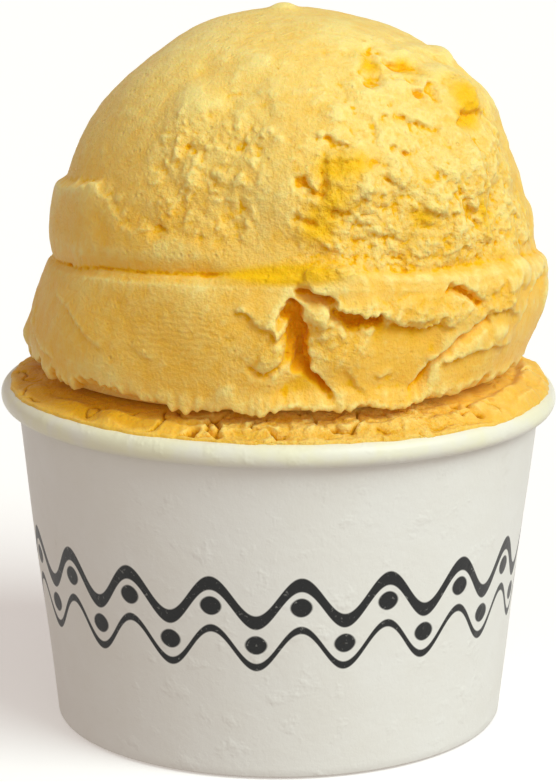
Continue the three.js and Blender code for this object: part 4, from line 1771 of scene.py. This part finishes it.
@dataclass(frozen=True)
class GelatoFinish:
    """Mango gelato: pale where it is whipped and torn, wet here and there, with painted amber shade
    in its hollows and a painted highlight on its crests and top.
    """

    name: str
    pale: str = "ffe68e"
    body: str = "fbc64e"
    # rich is the deeper tone of veins and sunk flakes, and also the painted shade in shallow
    # hollows
    rich: str = "f9bf08"
    # deep is painted shade in the deepest hollows and cracks
    deep: str = "eca100"
    wet: str = "fdc608"
    glow: float = 0.3  # how much light goes through it
    scatter: float = 0.55  # and how far, in millimetres
    roughness: float = 0.47
    specular: float = 0.18
    sheen: float = 0.08
    patch: float = 0.016  # this and the sizes below are in metres
    vein: float = 0.0052
    speck: float = 0.0022
    flake: float = 0.0017
    pore: float = 0.0013
    crumb: float = 0.00072
    grain: float = 0.00042
    wrinkle: float = 0.0008

    def material(self) -> bpy.types.Material:
        """Builds the material.

        Returns:
            The material.
        """
        g = Graph(self.name)
        place = g.place()
        hollow, crest = g.mark(Mark.HOLLOW), g.mark(Mark.CREST)
        torn, moist, wrinkled = g.mark(Mark.TORN), g.mark(Mark.MOIST), g.mark(Mark.WRINKLED)
        patches = g.noise(place, self.patch, 3.0, 0.55)
        specks = g.noise(place, self.speck, 3.0, 0.6)
        fine = g.noise(place, self.grain, 2.0, 0.65)
        flaky = g.noise(place, self.flake, 4.0, 0.72)
        pores = g.cells(place, self.pore)
        crumbs = g.cells(place, self.crumb)
        _, _, height = g.axes(place)
        # crest adds a painted highlight on crests and bulges; patches and specks are random tone
        paleness = (patches - 0.5) * 0.8 + (specks - 0.5) * 1.1 + crest * 0.8
        paleness = paleness + torn * ((flaky - 0.5) * 1.6 + 0.15)
        paleness = paleness + (fine - 0.5) * 0.5
        # paler higher up: partly the whipped top's own colour, partly a painted highlight where the
        # top is lit
        paleness = paleness + height.eased(0.06, 0.09) * 0.45 + 0.08
        colour = g.mix(paleness.most(0.0).least(1.0), tone(self.body), tone(self.pale))
        wetness = moist + (specks - 0.5) * 0.9 * moist + (patches - 0.5) * 0.8 * moist
        wetness = wetness.eased(0.1, 1.1)
        colour = g.mix(wetness * 0.97, colour, tone(self.wet))
        veins = g.noise(place, self.vein, 4.0, 0.68).eased(0.5, 0.68) * torn
        sunk = flaky.eased(0.48, 0.34) * torn
        colour = g.mix((veins * 0.5 + sunk * 0.5).least(0.9), colour, tone(self.rich))
        # painted shade: hollows and cracks are mixed towards rich and then deep amber
        depth = hollow + (specks - 0.5) * 0.4 * hollow
        colour = g.mix(depth.eased(0.05, 0.6), colour, tone(self.rich))
        colour = g.mix(depth.eased(0.55, 1.05), colour, tone(self.deep))
        waves = height * (2 * math.pi / self.wrinkle) + g.noise(place, 0.0035, 3.0) * 16.0
        pits = 1 - pores.eased(0.0, 0.3)
        surface = fine * 0.35 + specks * 0.6 - pits * 0.3 * g.noise(place, 0.005).eased(0.5, 0.62)
        bump = g.bump(surface, self.grain, 1.0)
        bump = g.bump((1 - crumbs * crumbs) * (torn * 0.5 + hollow * 0.2), 0.0004, 0.6, bump)
        bump = g.bump(flaky * torn, 0.0009, 0.65, bump)
        bump = g.bump(waves.sine() * wrinkled, 0.00006, 0.3, bump)
        roughness = self.roughness + (specks - 0.5) * 0.16 + torn * 0.06 - wetness * 0.2
        return g.finish(
            Base_Color=colour, Roughness=roughness, Normal=bump, IOR=1.4,
            Subsurface_Weight=self.glow, Subsurface_Radius=(1.0, 0.55, 0.18),
            Subsurface_Scale=self.scatter * MM, Specular_IOR_Level=self.specular,
            Sheen_Weight=self.sheen, Sheen_Roughness=0.4,
        )


@dataclass(frozen=True)
class PaperFinish:
    """Coated white cup paper, printed all round with a plain wavy border."""

    name: str
    printed: bool
    white: str = "eeefe9"
    warm: str = "e6e4d9"
    ink: str = "08090c"
    grease: str = "efeecb"
    wave_level: float = 21.5
    wave_height: float = 2.6
    wave_count: int = 18
    wave_gap: float = 3.1  # how far the two lines lie from the middle
    stroke: float = 0.95
    thin_share: float = 0.55  # of the lower line
    dot: float = 1.3
    soft_edge: float = 0.12

    def material(self) -> bpy.types.Material:
        """Builds the material.

        Returns:
            The material.
        """
        g = Graph(self.name)
        place = g.place()
        x, y, z = g.axes(place)
        mottle = g.noise(place, 0.012, 4.0, 0.6)
        fibre = g.noise(place, 0.0012, 4.0, 0.7)
        colour = g.mix((mottle - 0.3).most(0.0).least(1.0) * 1.1, tone(self.white), tone(self.warm))
        near_rim = z.eased(0.0428, 0.0445)
        smear = near_rim * (0.35 + 0.5 * g.noise(place, 0.009, 3.0, 0.6).eased(0.42, 0.62))
        colour = g.mix(smear, colour, tone(self.grease))
        scuffs = g.noise(place, 0.006, 5.0, 0.75).eased(0.66, 0.74) * 0.12
        colour = g.mix(scuffs, colour, tone("b9b2a2"))
        roughness = 0.5 + (mottle - 0.5) * 0.12 - near_rim * 0.16
        if self.printed:
            worn = g.noise(place, 0.0006, 2.0).eased(0.62, 0.8)
            ink = self.print_mask(x, y, z) * (0.99 - worn * 0.2)
            colour = g.mix(ink, colour, tone(self.ink))
            roughness = roughness - ink * 0.08
        handled = g.noise(place, 0.0035, 3.0, 0.55).eased(0.55, 0.75)
        bump = g.bump(fibre * 0.6 + mottle * 1.6 + handled * 0.7, 0.0002, 0.5)
        return g.finish(
            Base_Color=colour, Roughness=roughness, Normal=bump, Specular_IOR_Level=0.3
        )

    def print_mask(self, x: Value, y: Value, z: Value) -> Value:
        """Where the border is printed: two wavy lines, with dots between them.

        Args:
            x: How far right.
            y: How far back.
            z: How high.

        Returns:
            1 on the ink, 0 on the paper.
        """
        turn = x.around(0.0 - y) * float(self.wave_count)
        level = z / MM - self.wave_level
        outward = (x * x + y * y).power(0.5) / MM
        edge, gap = self.soft_edge, self.wave_gap
        lines = ((gap, self.stroke), (-gap, self.stroke * self.thin_share))
        waves = [
            (level - turn.sine() * self.wave_height - lift)
            .absolute()
            .eased(half + edge, half - edge)
            for lift, half in lines
        ]
        mask = waves[0].most(waves[1])
        for side in (1, -1):
            part = turn - side * math.pi / 2
            across = part.sine() * outward * (1 / self.wave_count)
            up = level - side * self.wave_height
            reach = (across * across + up * up).power(0.5)
            dots = reach.eased(self.dot + edge, self.dot - edge) * part.cosine().eased(0.0, 0.2)
            mask = mask.most(dots)
        return mask * (outward - 30.5).eased(0.0, 0.3)


@dataclass(frozen=True)
class FloorFinish:
    """A plain pale studio floor."""

    name: str = "studio_floor"
    shade: str = "fdfdfc"

    def material(self) -> bpy.types.Material:
        """Builds the material.

        Returns:
            The material.
        """
        g = Graph(self.name)
        cloud = g.noise(g.place(), 0.4, 1.0)
        colour = g.mix(cloud * 0.05, tone(self.shade), tone("f4f4f2"))
        return g.finish(
            Base_Color=colour, Roughness=0.7,
            Emission_Color=tone(self.shade), Emission_Strength=0.2,
        )


# ---------------------------------------------------------------- the studio


@dataclass(frozen=True)
class Lamp:
    """A soft light that comes from one direction."""

    name: str
    bearing: float
    elevation: float
    softness: float  # how wide it looks, in degrees
    strength: float
    colour: tuple[float, float, float]

    def add(self) -> None:
        """Adds the light."""
        data = bpy.data.lights.new(self.name, "SUN")
        data.energy, data.color = self.strength, self.colour
        data.angle = math.radians(self.softness)
        lamp = bpy.data.objects.new(self.name, data)
        bpy.context.scene.collection.objects.link(lamp)
        around, up = math.radians(self.bearing), math.radians(self.elevation)
        out = math.cos(up)
        source = Vector((math.sin(around) * out, -math.cos(around) * out, math.sin(up)))
        lamp.location = source * 0.6
        lamp.rotation_euler = (-source).to_track_quat("-Z", "Y").to_euler()


@dataclass(frozen=True)
class Studio:
    """The floor, the lights and the camera."""

    floor_half: float = 6.0
    camera_place: tuple[float, float, float] = (0.0, -0.374, 0.1305)
    camera_pitch: float = 77.1
    lens: float = 128.2
    sky: tuple[float, float, float, float] = (1.0, 0.855, 0.785, 1.0)
    sky_strength: float = 0.435
    lamps: tuple[Lamp, ...] = (
        Lamp("key", 54, 44, 38, 2.05, (0.9, 1.0, 0.99)),
        Lamp("front", 12, 18, 60, 0.6, (0.95, 1.0, 0.97)),
    )

    def build(self) -> None:
        """Sets the floor, lights, world, colours and camera."""
        bpy.ops.object.select_all(action="DESELECT")
        bpy.ops.mesh.primitive_plane_add(size=2 * self.floor_half, location=(0, 0, -0.0002))
        floor = bpy.context.object
        floor.name = "floor"
        bpy.ops.object.transform_apply(location=True)
        floor.data.materials.append(FloorFinish().material())
        floor.visible_diffuse = False  # keeps the white floor from lighting the cup from below
        for lamp in self.lamps:
            lamp.add()
        world = bpy.data.worlds.new("studio")
        world.use_nodes = True
        back = world.node_tree.nodes["Background"]
        back.inputs["Color"].default_value = self.sky
        back.inputs["Strength"].default_value = self.sky_strength
        scene = bpy.context.scene
        scene.world = world
        scene.view_settings.view_transform = "Standard"
        data = bpy.data.cameras.new("camera")
        data.lens, data.clip_start, data.clip_end = self.lens, 0.01, 50
        camera = bpy.data.objects.new("camera", data)
        scene.collection.objects.link(camera)
        camera.location = self.camera_place
        camera.rotation_euler = (math.radians(self.camera_pitch), 0, 0)
        scene.camera = camera


def main() -> None:
    """Builds the cup and its gelato, dresses them, and sets up the studio."""
    logging.basicConfig(level=logging.INFO, format="%(name)s: %(message)s")
    cup = PaperCup()
    wall, bottom = cup.build_wall(), cup.build_bottom()
    cup.dress(wall, PaperFinish("printed_cup_paper", printed=True))
    cup.dress(bottom, PaperFinish("plain_cup_paper", printed=False))
    packed = PackedGelato(cup)
    # the packed gelato's darker colours are painted shade, for the ring that lies in the scoop's
    # shadow
    shaded = GelatoFinish(
        "mango_gelato_packed_shaded", pale="fcde84", body="f4c14a", rich="e4a816", deep="b87800"
    )
    packed.dress(packed.build(), shaded)
    scoop = Scoop()
    scoop.dress(scoop.build(), GelatoFinish("mango_gelato_scoop"))
    Studio().build()
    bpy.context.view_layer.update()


if __name__ == "__main__":
    main()
